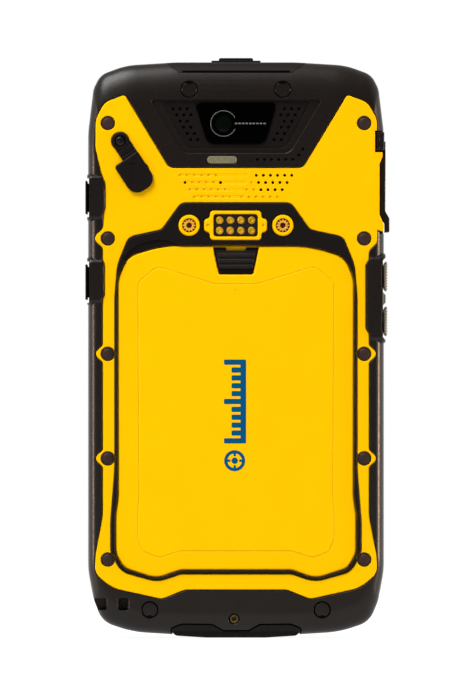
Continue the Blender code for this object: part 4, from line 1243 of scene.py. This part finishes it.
def make_screen_side():
    """Bezel, cover glass, the four front keys and the earpiece slot."""
    cavity = whole(CAVITY)
    bezel = plate(offset(cavity, -0.2), FRONT_WALL_END, BEZEL_FACE, 0.4)
    cut(bezel, prism(offset(cavity, -GAP - WALL), BEZEL_INNER, FRONT_WALL_END + 1))
    join(bezel, *[rod(place, 2.4, BEZEL_INNER - 0.5, FRONT_WALL_END, 24) for place in SCREW_PLACES])
    cut(bezel, *[rod(place, 1.1, -4.6, FRONT_WALL_END + 1, 16) for place in SCREW_PLACES])
    glass_box = span("display_window")
    cut(bezel, pocket(footprint(glass_box, 2.9, 0.2), -10.8, BEZEL_FACE, 0.25))
    cut(bezel, prism(rectangle(-29.5, 29.5, 41, 136), BEZEL_FACE - 1, BEZEL_INNER + 1))
    ear_slot = rectangle(-6, 6, 144.2, 145.8, 0.7)
    cut(bezel, pocket(ear_slot, BEZEL_INNER + 1, BEZEL_FACE, 0.25))
    keys = [span(name) for name in FRONT_KEYS]
    key_z = (keys[0].z0 + keys[0].z1) / 2
    places = [(key.u0 + key.u1) / 2 for key in keys]
    cut(bezel, *[pocket(tile((u, key_z), 5.4, 2.9, 2.4), BEZEL_INNER + 1, BEZEL_FACE, 0.3)
                 for u in places])
    for name in SIDE_KEYS + VOLUME_KEYS:
        key = span(name)
        z = (key.z0 + key.z1) / 2
        low, high = sorted(math.copysign(reach, key.u0) for reach in (34.0, 38.0))
        cut(bezel, stem(low, high, 1.1, z - 1.1, z + 1.1))
    cut(bezel, stem(-1.2, 1.2, 1.2, 146.5, 151))
    cut(bezel, box(34.0, 38.0, -4.4, 2.3, 112.0, 127.3))
    piece("bezel", bezel, "black_plastic", stands_for="front_housing")

    pane = plate(footprint(glass_box, 2.7), glass_box.y1, glass_box.y0, 0.12)
    piece("screen_pane", pane, "screen_glass", stands_for="display_window")
    area = rectangle(-28.0, 28.0, 42.0, 135.0, 0.4)
    screen = prism(area, glass_box.y0 + 0.02, glass_box.y0 - 0.012)
    piece("screen_area", screen, "ink_screen")
    mesh = prism(rectangle(-5.9, 5.9, 144.3, 145.7, 0.6), BEZEL_FACE + 0.9, BEZEL_FACE + 0.5)
    cut(mesh, *[rod((u * 0.55, 145.0 + row * 0.42), 0.14, BEZEL_FACE, BEZEL_FACE + 2, 8)
                for u in range(-9, 10) for row in (-1, 0, 1)])
    piece("ear_mesh", mesh, "steel")

    for name, key, u in zip(FRONT_KEYS, keys, places):
        face = key.y0
        loop = tile((u, key_z), 5.15, 2.65, 2.1)
        cap = plate(loop, key.y1 - 0.5, face, 0.5)
        join(cap, prism(offset(loop, 0.9), key.y1, key.y1 - 0.5))
        piece(f"{name}_cap", cap, "black_rubber", f"{name}_body", name)
        marks = [prism(outline, face + 0.02, face - 0.03) for outline in symbol(name, u, key_z)]
        piece(f"{name}_symbol", gathered(marks), "ink_white", f"{name}_body")


# ---------------------------------------------------------------- carried-over nodes


CARRIED = {
    "camera_module": "camera_barrel", "antenna_jack": "gold_contacts", "usb_socket": "steel",
    "audio_jack": "black_plastic", "display_module": "steel", "keypad_membrane": "black_rubber",
    "main_board": "circuit_board", "board_shield": "steel", "battery_connector": "black_plastic",
    "gnss_antenna": "antenna_ceramic", "speaker": "black_plastic", "housing_seal": "black_rubber",
    "earpiece": "black_plastic", "vibration_motor": "steel", "door_seal": "black_rubber",
}


def dress_carried_nodes():
    """Materials and soft edges for the inside pieces, which keep their CAD shape."""
    for name, finish in CARRIED.items():
        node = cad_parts[name]
        for index in range(len(node.material_slots)):
            node.material_slots[index].link = "OBJECT"
            node.material_slots[index].material = FINISHES[finish]
        weld = node.modifiers.new("Weld", "WELD")
        weld.merge_threshold = 0.00001
        bevel = node.modifiers.new("Bevel", "BEVEL")
        bevel.width = 0.12 * MM
        bevel.segments = 2
        bevel.limit_method = "ANGLE"
        bevel.angle_limit = math.radians(40)


# ---------------------------------------------------------------- studio


def aimed(thing, place, target):
    """Put an object at a place, turned towards a target, both in metres."""
    thing.location = place
    toward = [target[i] - place[i] for i in range(3)]
    flat = math.hypot(toward[0], toward[1])
    thing.rotation_euler = (
        math.pi / 2 + math.atan2(toward[2], flat), 0.0, math.atan2(-toward[0], toward[1]),
    )


def make_light(name, place, size, power, colour):
    """Round area light that is turned towards the middle of the instrument."""
    data = bpy.data.lights.new(name, "AREA")
    data.shape = "DISK"
    data.size = size
    data.energy = power
    data.color = colour
    light = bpy.data.objects.new(name, data)
    bpy.context.scene.collection.objects.link(light)
    aimed(light, place, (0.0, 0.0, 0.08))


def make_world(scene):
    """Surroundings that are white behind the instrument and dimmer on the side of its door."""
    world = bpy.data.worlds.new("studio")
    world.use_nodes = True
    tree = world.node_tree
    direction = tree.nodes.new("ShaderNodeTexCoord")
    parts = tree.nodes.new("ShaderNodeSeparateXYZ")
    strength = tree.nodes.new("ShaderNodeMapRange")
    tree.links.new(direction.outputs["Generated"], parts.inputs["Vector"])
    tree.links.new(parts.outputs["Y"], strength.inputs["Value"])
    white_until, dim_from, dim = 0.05, 0.7, 0.22
    for key, value in (("From Min", white_until), ("From Max", dim_from), ("To Min", 1.0),
                       ("To Max", dim)):
        strength.inputs[key].default_value = value
    background = tree.nodes["Background"]
    background.inputs["Color"].default_value = (1, 1, 1, 1)
    tree.links.new(strength.outputs["Result"], background.inputs["Strength"])
    scene.world = world


def make_studio():
    """Surroundings, a soft key light, two small warm side lights, and a pale floor."""
    scene = bpy.context.scene
    scene.view_settings.view_transform = "Standard"
    make_world(scene)
    make_light("key_light", (0.5, 0.62, 1.1), 0.8, 24.0, (1.0, 0.985, 0.96))
    for side, power in ((1, 6.0), (-1, 13.0)):
        make_light("side_light", (side * 1.2, 0.1, 0.08), 0.16, power, (1.0, 0.72, 0.5))

    radius, underside, surface, segments = 0.6, -0.004, -0.0002, 96
    angles = [2 * math.pi * i / segments for i in range(segments)]
    floor = solid([[(radius * math.cos(angle), radius * math.sin(angle), level) for angle in angles]
                   for level in (underside, surface)])
    floor.name = "floor"
    graph = Graph("floor")
    floor.data.materials.append(graph.finished({
        "Base Color": (0.15, 0.15, 0.15, 1), "Roughness": 0.9,
        "Emission Color": (1, 1, 1, 1), "Emission Strength": 0.9,
    }))


def make_camera():
    """Long lens straight behind the instrument, level with its middle."""
    view_height = 186.8 * MM
    distance = 3.0
    side_shift, level = 0.667 * MM, 76.84 * MM
    data = bpy.data.cameras.new("camera")
    data.sensor_width = 36.0
    data.lens = data.sensor_width * distance / view_height
    data.clip_end = 20.0
    camera = bpy.data.objects.new("camera", data)
    bpy.context.scene.collection.objects.link(camera)
    rear = BUMPER_REAR * MM
    aimed(camera, (side_shift, rear + distance, level), (side_shift, rear, level))
    bpy.context.scene.camera = camera


make_bumper()
make_cap_trim()
make_camera_trim()
make_shell()
make_band()
make_fasteners()
make_contact_block()
make_antenna_cover()
make_port_cover()
make_door()
make_latch()
make_battery()
make_side_keys()
make_screen_side()
dress_carried_nodes()
make_studio()
make_camera()
